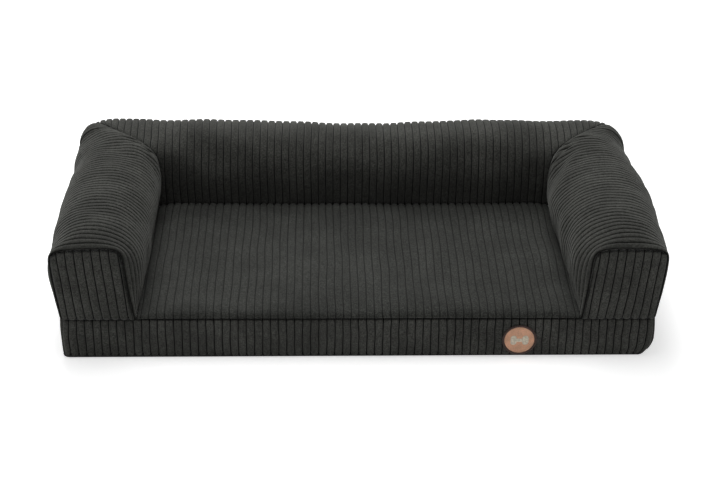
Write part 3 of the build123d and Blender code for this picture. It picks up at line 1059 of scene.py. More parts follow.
class Workshop:
    """Holds the finishes and dresses pieces with them."""

    def __init__(self) -> None:
        """Makes every material once."""
        self.ribs = CordRibs()
        self.corduroy = Corduroy().material("corduroy")
        # Painted light: a lighter copy of the same corduroy for the boxing and the end panels, its colour
        # raised to stand in for the light that these upright sides get.
        brushed = Corduroy(colour=(0.0485, 0.0492, 0.0446))
        self.painted_light_corduroy = brushed.material("painted_light_corduroy")
        # Painted shade: a darker copy of the same corduroy for the sleeping panel, its colour lowered to
        # stand in for how the flat panel falls darker under the light; its paler grooves, lower sheen and
        # calmer patches are the pile's own, pressed flat.
        pressed = Corduroy(colour=(0.034, 0.035, 0.032), sheen=0.1, brushed=0.16, ground=0.3)
        self.pressed_and_shaded_corduroy = pressed.material("pressed_and_shaded_corduroy")
        self.lining = Woven((0.035, 0.035, 0.034), 0.85).material("lining")
        self.grip = Woven((0.03, 0.03, 0.031), 0.8, 0.9 * MM).material("grip_cloth")
        self.case = Woven((0.72, 0.72, 0.7), 0.8, 0.5 * MM).material("case_cloth")
        self.fibre = Felt((0.82, 0.82, 0.8), 0.95, 500.0).material("fibre")
        self.foam = Felt((0.74, 0.68, 0.5), 0.95, 700.0).material("foam")
        self.tape = Woven((0.022, 0.022, 0.022), 0.8, 0.8 * MM).material("zip_tape")
        self.rubber = Hard((0.05, 0.05, 0.05), 0.7).material("grip_dots")
        self.teeth = Hard((0.02, 0.02, 0.021), 0.42).material("zip_teeth")
        self.metal = Hard((0.022, 0.022, 0.023), 0.32, 0.4, 0.3).material("zip_metal")
        self.stitch = Thread((0.05, 0.05, 0.047), 0.6, 0.6 * MM).material("seam_thread")
        self.badge_ground = Felt((0.76, 0.42, 0.27), 0.9, 1500.0).material("badge_ground")
        self.badge_thread = Thread((0.034, 0.014, 0.009), 0.6).material("badge_thread")
        self.badge_stitch = Thread((0.82, 0.74, 0.6), 0.5).material("badge_stitch")

    def rib(self, piece: Object, cord: Material, narrow: bool = False) -> None:
        """Gives a panel its ribs and its cloth's thickness.

        Args:
            piece: The panel.
            cord: The corduroy that it is cut from.
            narrow: Whether its grooves are the narrow ones.
        """
        groove = self.ribs.narrow_groove if narrow else self.ribs.groove
        self.ribs.run(piece, {"Cloth": cord, "Groove width": groove})
        thicken(piece, "cloth", self.ribs.cloth)
        shade_smooth(piece.data)

    def finish(self, piece: Object, slot: str, *nodes: str, body: str = BED_BODY) -> None:
        """Hangs a piece on the body that it rides on, hides the CAD nodes that it stands for and logs its
        triangles.

        Args:
            piece: The piece.
            slot: The record's material slot. Not used.
            nodes: The CAD nodes that it replaces.
            body: The body that it rides on.
        """
        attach(piece, body)
        if nodes:
            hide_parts(*nodes)
        piece.data.calc_loop_triangles()
        log.info("%s: %d triangles", piece.name, len(piece.data.loop_triangles))


@dataclass(frozen=True)
class Stuffing:
    """Pushes a sewn cover out from inside, as its filling does, with a short cloth simulation.

    No point moves further than cap, and the movement is evened out calm times.
    """

    pressure: float = 3.0
    slack: float = 0.02
    frames: int = 18
    cap: float = 7 * MM
    calm: int = 4

    def swell(self, points: Array, held: Array, flip: bool) -> Array:
        """Simulates a cover that is held at its seams.

        Args:
            points: The cover's coarse grid, rows by columns by 3.
            held: How firmly each point is held, from 0 to 1.
            flip: Whether the faces are turned over.

        Returns:
            How far each point moved.
        """
        rows, columns = points.shape[:2]
        faces = grid_faces(rows, columns, flip)
        cover = new_piece("stuffing", points.reshape(-1, 3).tolist(), faces.tolist())
        group = cover.vertex_groups.new(name="held")
        for number, weight in enumerate(held.ravel()):
            if weight > 0:
                group.add([number], float(weight), "REPLACE")
        cloth = cover.modifiers.new("stuffing", "CLOTH")
        cloth.settings.effector_weights.gravity = 0
        settings = {
            "quality": 6,
            "mass": 0.25,
            "tension_stiffness": 20,
            "compression_stiffness": 20,
            "shear_stiffness": 8,
            "bending_stiffness": 0.6,
            "air_damping": 4,
            "use_pressure": True,
            "uniform_pressure_force": self.pressure,
            "vertex_group_mass": "held",
            "shrink_min": -self.slack,
        }
        for label, value in settings.items():
            setattr(cloth.settings, label, value)
        cloth.point_cache.frame_end = self.frames
        for step in range(1, self.frames + 1):
            bpy.context.scene.frame_set(step)
        graph = bpy.context.evaluated_depsgraph_get()
        result = cover.evaluated_get(graph).data
        moved = np.zeros(len(result.vertices) * 3, np.float32)
        result.vertices.foreach_get("co", moved)
        mesh = cover.data
        bpy.data.objects.remove(cover)
        bpy.data.meshes.remove(mesh)
        bpy.context.scene.frame_set(1)
        return self.calmed(moved.reshape(points.shape) - points) * (held < 1)[..., None]

    def calmed(self, shift: Array) -> Array:
        """Keeps a movement under the cap and evens it out.

        Args:
            shift: How far each point moved.

        Returns:
            The evened movement.
        """
        size = np.linalg.norm(shift, axis=-1, keepdims=True)
        shift = shift * np.minimum(1, self.cap / np.maximum(size, NUDGE))
        for _ in range(self.calm):
            for axis in (0, 1):
                edge = np.pad(shift, [(1, 1) if k == axis else (0, 0) for k in range(3)], mode="edge")
                around = np.arange(shift.shape[axis])
                before, after = (np.take(edge, around + k, axis=axis) for k in (0, 2))
                shift = 0.5 * shift + 0.25 * (before + after)
        return shift


@dataclass(frozen=True)
class Station:
    """The bolster's cross section at one place along a run. Lengths are in millimetres.

    squareness is 2 where the top is a half ellipse and more where it is a soft-edged box.
    waist is the share of the height at which the sides swell most. tilt is how much lower
    the outer top edge lies than the inner one.
    """

    place: float
    outer_swell: float
    inner_swell: float
    crest: float
    squareness: float = 2.3
    waist: float = 0.5
    lean: float = 0.0
    tilt: float = 0.0


class Side(Enum):
    """Which stretch of the bolster a run covers."""

    LEFT = "left_arm"
    BACK = "back"
    RIGHT = "right_arm"


@dataclass(frozen=True)
class ZipSlot:
    """A long opening in a cover over its zip, whose lips turn in to the tapes. In metres.

    sink is how deep the cloth is pressed round the opening, over press_width to each side and
    pull_rest beyond its ends, where it fades over rest_fade. The ribs are sewn flat to sewn
    over sewn_width.
    """

    middle: float = 14.4 * MM
    half_length: float = 221 * MM
    width: float = 10 * MM
    sink: float = 4.2 * MM
    end: float = 3 * MM
    pull_rest: float = 34 * MM
    reach: float = 24 * MM
    stitch_off: float = 3.2 * MM
    row_room: float = 1.5 * MM
    press_width: float = 9 * MM
    rest_fade: float = 10 * MM
    foot_fade: float = 5 * MM
    sewn: float = 0.72
    sewn_width: float = 5 * MM
    lip_roll: float = 1.3 * MM
    closed: float = 0.05 * MM
    stitch_past: float = 3 * MM
    stitch_lift: float = 0.55 * MM
    tack_lift: float = 0.9 * MM
    tack_height: float = 11 * MM

    def opening(self, run: Array) -> Array:
        """How wide the opening is at places along the run."""
        share = ramp(self.half_length - np.abs(run), self.end)
        return self.width * share * share * (3 - 2 * share)

    def lips(self) -> Array:
        """Distances from the slot's middle line at which the cover has a row of its own."""
        return np.array([0.0, 0.4, 1.0, 1.9, 3.2, 5.4]) * MM

    def rows(self, shares: Array, length: float) -> Array:
        """Adds the slot's own rows to a cover's rows, two of them on its middle line.

        Args:
            shares: The cover's rows, as shares of the section.
            length: The section's length.

        Returns:
            The rows with the slot's among them.
        """
        lips = self.lips()
        own = np.concatenate([self.middle - lips[::-1], self.middle + lips]) / length
        room = self.row_room / length
        clear = (shares < own[0] - room) | (shares > own[-1] + room)
        return np.sort(np.concatenate([shares[clear], own]), kind="stable")

    def first_row(self, shares: Array) -> int:
        """The number of the first of the two rows on the slot's middle line."""
        return int(np.argmin(np.diff(shares)))

    def moved(self, around: Array, first: int, opening: float) -> Array:
        """Where the rows lie at one place along the run, with the slot open there.

        Args:
            around: Distances round the section, closed.
            first: The first of the two rows on the middle line.
            opening: How wide the slot is there.

        Returns:
            Distances round the section, open.
        """
        half, middle = opening / 2, self.middle
        lower = around * (middle - half) / middle
        closed = ramp(around - middle, self.reach)
        upper = around + half * (1 - closed)
        return np.where(np.arange(len(around)) <= first, lower, upper)


def topstitch(
    shop: Workshop, name: str, lines: list[Array], outward: tuple[float, float, float]
) -> None:
    """Sews a visible row of stitches along each line.

    Args:
        shop: The workshop.
        name: The piece's name.
        lines: Points of each line.
        outward: The way that the cloth faces.
    """
    row = StitchRow(3.4 * MM, (2.7 * MM, 0.75 * MM, 0.6 * MM), 0.0, outward)
    shop.finish(row.lay(name, lines, shop.stitch), "corduroy")


def bar_tacks(shop: Workshop, name: str, spots: list[Array], height: float) -> None:
    """Sews a dense upright bar of thread at each end of a slot.

    Args:
        shop: The workshop.
        name: The piece's name.
        spots: The middle of each bar.
        height: How tall each bar is.
    """
    rise = np.array([0, 0, height / 2])
    lines = [np.array([spot - rise, spot + rise]) for spot in spots]
    row = StitchRow(0.55 * MM, (0.6 * MM, 2.6 * MM, 0.7 * MM), 0.0, (0.0, 1.0, 0.0))
    shop.finish(row.lay(name, lines, shop.stitch), "corduroy")


@dataclass
class BolsterRun:
    """One stretch of the stuffed bolster, from seam to seam: an arm, or the back.

    Lengths are in metres. girth is about the way round its section, gather is how much wider
    the cut cloth is than the form under it, and wander and lump are how far the ribs stray
    and the filling stands out.
    """

    sizes: BedSizes
    side: Side
    stations: list[Station]
    folds: list[Fold]
    cover_name: str
    seed: int
    row_step: float = 3.1 * MM
    fine_rows: tuple[float, ...] = (0.0, 0.3 * MM, 0.9 * MM, 1.7 * MM, 2.6 * MM, 4.2 * MM)
    girth: float = 298 * MM
    wander: float = 0.4 * MM
    wander_width: float = 110 * MM
    wander_share: float = 0.6
    lump: float = 0.5 * MM
    lump_width: float = 45 * MM
    seam_fade: float = 20 * MM
    fold_fade: float = 10 * MM
    gather: float = 1.0
    stuffing: Stuffing = field(default_factory=Stuffing)
    slot: ZipSlot | None = None
    mitre_depth: float = 1.3 * MM
    mitre_width: float = 2.6 * MM
    mitre_turn: float = 8 * MM
    seam_ease: float = 0.4
    ease_width: float = 4 * MM
    dense: int = 161
    side_steps: int = 40
    crest_steps: int = 181
    case_gap: float = 9 * MM
    filling_gap: float = 10.5 * MM
    corner_gap: float = 6 * MM
    pillow_share: float = 0.955

    def sections(self, places: Array, shares: Array) -> tuple[Array, Array]:
        """The cross sections at places along the run.

        Args:
            places: Places in the stations' own span.
            shares: Shares of the way round the section, from the outer to the inner foot.

        Returns:
            Points (distance in from the outer foot, height over the seam) by place and share,
            and each section's length.
        """
        lengths = ("outer_swell", "inner_swell", "crest", "lean", "tilt")
        names = (*lengths, "squareness", "waist")
        scales = [MM] * len(lengths) + [1.0, 1.0]
        table = np.array([[getattr(s, name) for name in names] for s in self.stations])
        knots = np.array([s.place for s in self.stations])
        read = curve_read(knots, table * scales, places)
        columns = (read[:, i, None] for i in range(read.shape[1]))
        outer_swell, inner_swell, crest, lean, tilt, squareness, waist = columns
        rise = np.linspace(0, 1, self.side_steps)[None, :-1]
        outer_x = -outer_swell * np.sin(math.pi / 2 * rise)
        inner_x = self.sizes.bolster_width + inner_swell * np.sin(math.pi / 2 * rise)
        turn = np.linspace(0, math.pi, self.crest_steps)[None, :]
        half = (self.sizes.bolster_width + inner_swell + outer_swell) / 2
        side, up = np.cos(turn), np.abs(np.sin(turn))
        top_x = half - outer_swell - half * np.sign(side) * np.abs(side) ** (2 / squareness)
        top_z = crest * (waist + (1 - waist) * up ** (2 / squareness))
        x = np.concatenate([outer_x, top_x, inner_x[:, ::-1]], axis=1)
        z = np.concatenate([crest * waist * rise, top_z, (crest * waist * rise)[:, ::-1]], axis=1)
        across = (x + outer_swell) / (2 * half)
        line = np.stack([x - lean * z / crest, z - tilt * (z / crest) * (1 - across)], axis=-1)
        gap = np.linalg.norm(np.diff(line, axis=1), axis=-1)
        length = np.concatenate([np.zeros((len(line), 1)), np.cumsum(gap, axis=1)], axis=1)
        even = np.zeros((len(line), len(shares), 2))
        for k in range(len(line)):
            for axis in range(2):
                even[k, :, axis] = np.interp(shares * length[k, -1], length[k], line[k, :, axis])
        return even, length[:, -1]

    def corner_radius(self, inward: Array, height: Array) -> Array:
        """The plan radius of the rear corner for a line that lies inward of the foot."""
        flare = self.sizes.rear_flare * height / self.sizes.flare_height
        return np.maximum(self.sizes.rear_corner + flare - inward, 0)

    def whole(self) -> float:
        """The length in plan, from the front seam or the bed's middle to the rear corner's tip."""
        return self.sizes.half_width if self.side is Side.BACK else 2 * self.sizes.half_depth

    def reach(self, inward: Array, height: Array) -> Array:
        """The length of a line, from the front seam or the bed's middle to the mitre."""
        radius = self.corner_radius(inward, height)
        return self.whole() - inward - radius + radius * math.pi / 4

    def place(self, run: Array, inward: Array, height: Array) -> Array:
        """Places in the bed for places on the run.

        Args:
            run: Distance from the front seam, or from the bed's middle on the back.
            inward: Distance in from the outer foot.
            height: Height over the seam.

        Returns:
            Points in the bed's frame.
        """
        size = self.sizes
        radius = self.corner_radius(inward, height)
        safe = np.maximum(radius, 1e-6)
        straight = self.whole() - inward - radius
        turn = np.clip((np.abs(run) - straight) / safe, 0, math.pi / 4) * (radius > 0)
        ahead = np.where(turn > 0, straight + radius * np.sin(turn), np.abs(run))
        inset = inward + radius * (1 - np.cos(turn))
        up = size.seam + height
        if self.side is Side.BACK:
            return np.stack([np.sign(run) * ahead, size.half_depth - inset, up], axis=-1)
        mirrored = 1 if self.side is Side.RIGHT else -1
        return np.stack([mirrored * (size.half_width - inset), ahead - size.half_depth, up], axis=-1)

    def surface(self) -> None:
        """Works out the stuffed form on an even grid: places, normals and lengths."""
        self.shares = arc_rows(self.girth, self.row_step, self.fine_rows)
        if self.slot:
            self.shares = self.slot.rows(self.shares, self.girth)
        span = (-1, 1) if self.side is Side.BACK else (0, 1)
        self.places = np.linspace(*span, self.dense)
        profile, self.lengths = self.sections(self.places, self.shares)
        self.inward, self.height = profile[..., 0].T, profile[..., 1].T
        self.run = self.places[None, :] * self.reach(self.inward, self.height)
        self.form = self.place(self.run, self.inward, self.height)
        self.flip = self.side is Side.RIGHT
        self.settle_form()
        self.normals = grid_normals(self.form) * (-1 if self.flip else 1)

    def settle_form(self) -> None:
        """Lets the stuffing push the form out between its seams."""
        columns = np.linspace(0, self.dense - 1, 81 if self.side is Side.BACK else 47)
        even = np.linspace(0, 1, 33)
        numbers = np.arange(len(self.shares))
        rows = np.interp(even, self.shares + numbers * NUDGE, numbers)
        coarse = resample(self.form, rows, columns)
        held = np.zeros(coarse.shape[:2])
        held[[0, -1], :] = 1
        held[:, [0, -1]] = 1
        held[1, :] = held[-2, :] = 0.4
        if self.slot:
            held[:4, :] = 1
        moved = self.stuffing.swell(coarse, held, self.flip)
        back_rows = np.interp(self.shares, even, np.arange(len(even)))
        back_columns = np.interp(np.arange(self.dense), columns, np.arange(len(columns)))
        self.form = self.form + resample(moved, back_rows, back_columns)

    def follow(self, values: Array, runs: Array) -> Array:
        """Reads a field of the form where the cloth's columns lie.

        Args:
            values: The field on the form's own grid.
            runs: Each column's place along the run, row by row.

        Returns:
            The field on the cloth's grid.
        """
        read = np.zeros((*runs.shape, 3))
        for r in range(len(runs)):
            for axis in range(3):
                read[r, :, axis] = np.interp(runs[r], self.run[r], values[r, :, axis])
        return read

    def cloth(self, ribs: CordRibs) -> ClothGrid:
        """The cover over the form, with columns that follow its ribs.

        Args:
            ribs: The ribs' rule.

        Returns:
            The cover's grid.
        """
        low, high = float(self.run.min()), float(self.run.max())
        columns = ribs.columns(low, high + max(0.0, high) * (self.gather - 1))
        wale = np.tile(columns, (len(self.shares), 1))
        laid = wale - np.maximum(wale, 0) * (1 - 1 / self.gather)
        start, end = self.run[:, :1], self.run[:, -1:]
        kept = np.clip(laid, start, end)
        to_foot = self.shares[:, None] * np.mean(self.lengths)
        to_inner = np.mean(self.lengths) - to_foot
        around = np.broadcast_to(to_foot, wale.shape)
        fade = ramp(kept - start, self.seam_fade) * ramp(end - kept, self.seam_fade)
        strayed = Drift(self.seed, self.wander_width).at(wale * self.wander_share, around)
        shifted = kept + self.wander * strayed * fade
        points, normals = (self.follow(values, shifted) for values in (self.form, self.normals))
        diagonal = math.sqrt(0.5)
        two_mitres = self.side is Side.BACK
        to_front = (kept - start) * (diagonal if two_mitres else 1)
        to_mitre = (end - kept) * diagonal
        roll = self.sizes.roll
        sunk = self.valley(to_front) if two_mitres else rolled(to_front, roll)
        for depth in (self.valley(to_mitre), rolled(to_foot, roll), rolled(to_inner, roll)):
            sunk = np.maximum(sunk, depth)
        lift = -sunk
        clear = ramp(np.minimum(to_mitre, to_front), self.fold_fade)
        for fold in self.folds:
            lift = lift + fold.lift(kept, around) * clear
        lift = lift + self.lump * Drift(self.seed + 7, self.lump_width).at(kept, around) * fade
        normals = self.squared_to_mitre(normals, kept, to_mitre, to_front)
        points = points + normals * lift[..., None]
        near = np.minimum(np.minimum(to_foot, to_inner), np.minimum(to_front, to_mitre))
        ease = (self.seam_ease + (1 - self.seam_ease) * ramp(near, self.ease_width)) / self.gather
        grid = ClothGrid(points, wale, around, ease, self.flip, None, near)
        return self.open_slot(grid, normals, to_foot[:, 0]) if self.slot else grid

    def valley(self, distance: Array) -> Array:
        """How deep the cover lies at a distance from a mitre, where the stuffing lets it sink softly."""
        return self.mitre_depth * bell(distance, self.mitre_width)

    def squared_to_mitre(
        self, normals: Array, kept: Array, to_mitre: Array, to_front: Array
    ) -> Array:
        """Turns the outward directions near a mitre into its plane, as the two covers meet there.

        Args:
            normals: The cover's outward directions.
            kept: Places along the run.
            to_mitre: Distances to the far mitre.
            to_front: Distances to the front seam, or to the back's other mitre.

        Returns:
            The turned directions.
        """
        toward = (1.0, 1.0 if self.side is Side.LEFT else -1.0, 0.0)
        plane = np.broadcast_to(toward, normals.shape) * math.sqrt(0.5)
        distance = to_mitre
        if self.side is Side.BACK:
            left = kept < 0
            plane = np.where(left[..., None], plane * [1, -1, 1], plane)
            distance = np.where(left, to_front, to_mitre)
        weight = bell(distance, self.mitre_turn)
        across = (normals * plane).sum(-1) * weight
        return normals - across[..., None] * plane

    def open_slot(self, grid: ClothGrid, normals: Array, around: Array) -> ClothGrid:
        """Parts the cover over its zip and turns the slot's lips in.

        Args:
            grid: The closed cover.
            normals: The cover's outward directions.
            around: Each row's distance from the outer foot.

        Returns:
            The cover with its slot.
        """
        slot = self.slot
        first = slot.first_row(self.shares)
        openings = slot.opening(grid.across[0])
        spread = around + np.arange(len(around)) * NUDGE
        rest = slot.half_length + slot.pull_rest
        points, rib = np.zeros_like(grid.points), np.zeros_like(grid.ease)
        for c, opening in enumerate(openings):
            moved = slot.moved(around, first, float(opening))
            off = np.abs(moved - slot.middle) - opening / 2
            beside = ramp(rest - abs(grid.across[0, c]), slot.rest_fade)
            sunk = slot.sink * beside * bell(off, slot.press_width) * ramp(moved, slot.foot_fade)
            sunk = sunk + rolled(np.maximum(off, 0), slot.lip_roll) * (opening > 0)
            for axis in range(3):
                shift = np.interp(moved, spread, normals[:, c, axis]) * sunk
                points[:, c, axis] = np.interp(moved, spread, grid.points[:, c, axis]) - shift
            flat = bell(off, slot.sewn_width, 4) * beside
            rib[:, c] = grid.ease[:, c] * (1 - slot.sewn * flat)
        keep = np.ones((grid.points.shape[0] - 1, grid.points.shape[1] - 1), bool)
        keep[first] = np.minimum(openings[1:], openings[:-1]) < slot.closed
        opened = ClothGrid(points, grid.across, grid.along, rib, grid.flip, keep, grid.seam)
        span = np.abs(grid.across[0]) < slot.half_length + slot.stitch_past
        nearest = int(np.argmin(np.abs(slot.lips() - slot.stitch_off)))
        rows = (first - nearest, first + 1 + nearest)
        self.seams = [points[row, span] + normals[row, span] * slot.stitch_lift for row in rows]
        ends = [np.argmin(np.abs(grid.across[0] - side * slot.half_length)) for side in (-1, 1)]
        self.tacks = [points[first, end] + np.array([0, slot.tack_lift, 0]) for end in ends]
        return opened

    def build(self, shop: Workshop) -> None:
        """Builds and dresses the cover, and the pillow inside it.

        Args:
            shop: The workshop.
        """
        self.surface()
        cover = self.cloth(shop.ribs).piece(self.cover_name)
        shop.rib(cover, shop.corduroy)
        shop.finish(cover, "corduroy", self.cover_name)
        if self.slot:
            topstitch(shop, "bolster_zip_topstitch", self.seams, (0.0, 1.0, 0.0))
            bar_tacks(shop, "bolster_zip_bar_tacks", self.tacks, self.slot.tack_height)
        for suffix, depth, material, slot in (
            ("pillow_case", self.case_gap, shop.case, "case_cloth"),
            ("filling", self.filling_gap, shop.fibre, "fibre"),
        ):
            node = f"{self.side.value}_{suffix}"
            pillow = self.pillow(node, depth)
            pillow.data.materials.append(material)
            shop.finish(pillow, slot, node)

    def pillow(self, name: str, depth: float) -> Object:
        """A closed pillow a little inside the form, on the bolster's floor.

        Args:
            name: The piece's name.
            depth: How far inside the form it lies.

        Returns:
            The new object.
        """
        columns = np.linspace(0, self.dense - 1, 61)
        rows = np.linspace(0, len(self.shares) - 1, 40)
        to_end = self.dense - 1 - columns
        if self.side is Side.BACK:
            to_end = np.minimum(columns, columns[::-1])
        depths = depth + self.corner_gap * bell(to_end, 18)[None, :, None]
        inner = resample(self.form, rows, columns) - resample(self.normals, rows, columns) * depths
        along = 0 if self.side is Side.BACK else 1
        middle = inner[..., along].mean()
        inner[..., along] = middle + (inner[..., along] - middle) * self.pillow_share
        inner[..., 2] = np.maximum(inner[..., 2], self.sizes.seam + depth / 2)
        index = np.arange(inner[..., 0].size).reshape(inner.shape[:2])
        faces = grid_faces(*index.shape, self.flip).tolist()
        floor = np.stack([index[-1, :-1], index[0, :-1], index[0, 1:], index[-1, 1:]], axis=-1)
        faces += (floor[:, ::-1] if self.flip else floor).tolist()
        faces += [index[:, 0].tolist(), index[::-1, -1].tolist()]
        piece = new_piece(name, inner.reshape(-1, 3).tolist(), faces)
        shade_smooth(piece.data)
        tidy_normals(piece)
        return piece

    def end_outline(self, count: int = 161) -> Array:
        """The section at the front seam, as points from the outer to the inner foot."""
        profile, _ = self.sections(np.array([0.0]), np.linspace(0, 1, count))
        return profile[0]


def tidy_normals(piece: Object) -> None:
    """Turns the faces of a closed mesh outwards.

    Args:
        piece: The piece with the mesh.
    """
    cleaner = bmesh.new()
    cleaner.from_mesh(piece.data)
    bmesh.ops.remove_doubles(cleaner, verts=cleaner.verts, dist=1e-6)
    bmesh.ops.recalc_face_normals(cleaner, faces=cleaner.faces)
    cleaner.to_mesh(piece.data)
    cleaner.free()


@dataclass
class EndPanel:
    """The upright panel that closes an arm's front, with ribs that lean out with the arm.

    Lengths are in metres. rim is how far the panel reaches past the arm's own outline, as a
    share of the covers' roll. bulge is how far it stands out bulge_width from its seam.
    """

    sizes: BedSizes
    arm: BolsterRun
    name: str
    bulge: float = 5.5 * MM
    bulge_width: float = 26 * MM
    lean: float = 9 * MM
    stretch: float = 1.06
    rim: float = 0.9
    row_step: float = 1.9 * MM
    fine_rows: tuple[float, ...] = (0.0, 0.3 * MM, 0.8 * MM, 1.5 * MM, 2.4 * MM)
    lump: float = 0.5 * MM
    lump_width: float = 50 * MM
    lump_fade: float = 15 * MM
    seam_ease: float = 0.8
    ease_width: float = 4 * MM

    def edge(self) -> Array:
        """The panel's outline, from the outer to the inner foot.

        Returns:
            Its points, as distance in from the outer foot and height over the seam.
        """
        outline = self.arm.end_outline()
        tangent = np.gradient(outline, axis=0)
        normal = np.stack([tangent[:, 1], -tangent[:, 0]], axis=-1)
        normal /= np.linalg.norm(normal, axis=-1, keepdims=True)
        rim = outline + normal * self.sizes.roll * self.rim
        rim[:, 1] = np.maximum(rim[:, 1], 0)
        return rim

    def build(self, shop: Workshop) -> None:
        """Builds and dresses the panel.

        Args:
            shop: The workshop.
        """
        rim = self.edge()
        crest = rim[:, 1].max()
        heights = np.linspace(0, crest, 420)
        top = int(rim[:, 1].argmax())
        outer = np.interp(heights, rim[: top + 1, 1], rim[: top + 1, 0])
        inner = np.interp(heights, rim[top:, 1][::-1], rim[top:, 0][::-1])
        slant = -self.lean * (heights / crest) ** 1.1
        low, high = float((outer - slant).min()), float((inner - slant).max())
        columns = shop.ribs.columns(low / self.stretch, high / self.stretch) * self.stretch
        shares = arc_rows(crest, self.row_step, self.fine_rows)
        flat = np.zeros((len(shares), len(columns), 2))
        for c, column in enumerate(columns):
            inside = (column + slant >= outer - 1e-6) & (column + slant <= inner + 1e-6)
            nearest = np.argmin(np.abs(outer - slant - column))
            spots = heights[inside] if inside.any() else heights[[nearest]]
            z = spots[0] + shares * (spots[-1] - spots[0])
            flat[:, c] = np.stack([column + np.interp(z, heights, slant), z], axis=-1)
        foot = np.stack([np.linspace(rim[-1, 0], rim[0, 0], 90), np.zeros(90)], axis=-1)
        distance = np.full(flat.shape[:2], 1.0)
        for spot in np.concatenate([rim, foot]):
            distance = np.minimum(distance, np.linalg.norm(flat - spot, axis=-1))
        across = np.broadcast_to(columns, distance.shape)
        wale = across / self.stretch
        rounding = shop.ribs.end_rounding(wale, self.sizes.rib_end)
        forward = self.sizes.roll - rolled(np.maximum(distance - rounding, 0), self.sizes.roll)
        forward = forward + self.bulge * (1 - bell(distance, self.bulge_width))
        uneven = Drift(self.arm.seed + 3, self.lump_width).at(across, flat[..., 1])
        forward = forward + self.lump * uneven * ramp(distance, self.lump_fade)
        right = self.arm.side is Side.RIGHT
        x = (1 if right else -1) * (self.sizes.half_width - flat[..., 0])
        points = np.stack([x, -self.sizes.half_depth - forward, self.sizes.seam + flat[..., 1]], axis=-1)
        ease = self.seam_ease + (1 - self.seam_ease) * ramp(distance, self.ease_width)
        seam = distance - rounding * shop.ribs.seam_share
        out = np.array([0.0, -1.0, 0.0])
        piece = ClothGrid(points, wale, flat[..., 1], ease, not right, None, seam, out).piece(self.name)
        # The end panel takes the lighter copy of the corduroy, whose brighter colour is painted light.
        shop.rib(piece, shop.painted_light_corduroy, narrow=True)
        shop.finish(piece, "corduroy", self.name)


class Facing(Enum):
    """Which way a side of the base faces: its axis in plan, and towards which end of it."""

    FRONT = (1, -1)
    BACK = (1, 1)
    LEFT = (0, -1)
    RIGHT = (0, 1)


@dataclass(frozen=True)
class Wall:
    """One strip of the boxing: its straight stretch, its two corner radii and its heights."""

    name: str
    facing: Facing
    low: float
    high: float
    low_radius: float
    high_radius: float
    bottom: float
    top: float
    slot_half: float = 0.0
    slot_low: float = 0.0
    slot_high: float = 0.0
    badge: tuple[float, float, float] | None = None


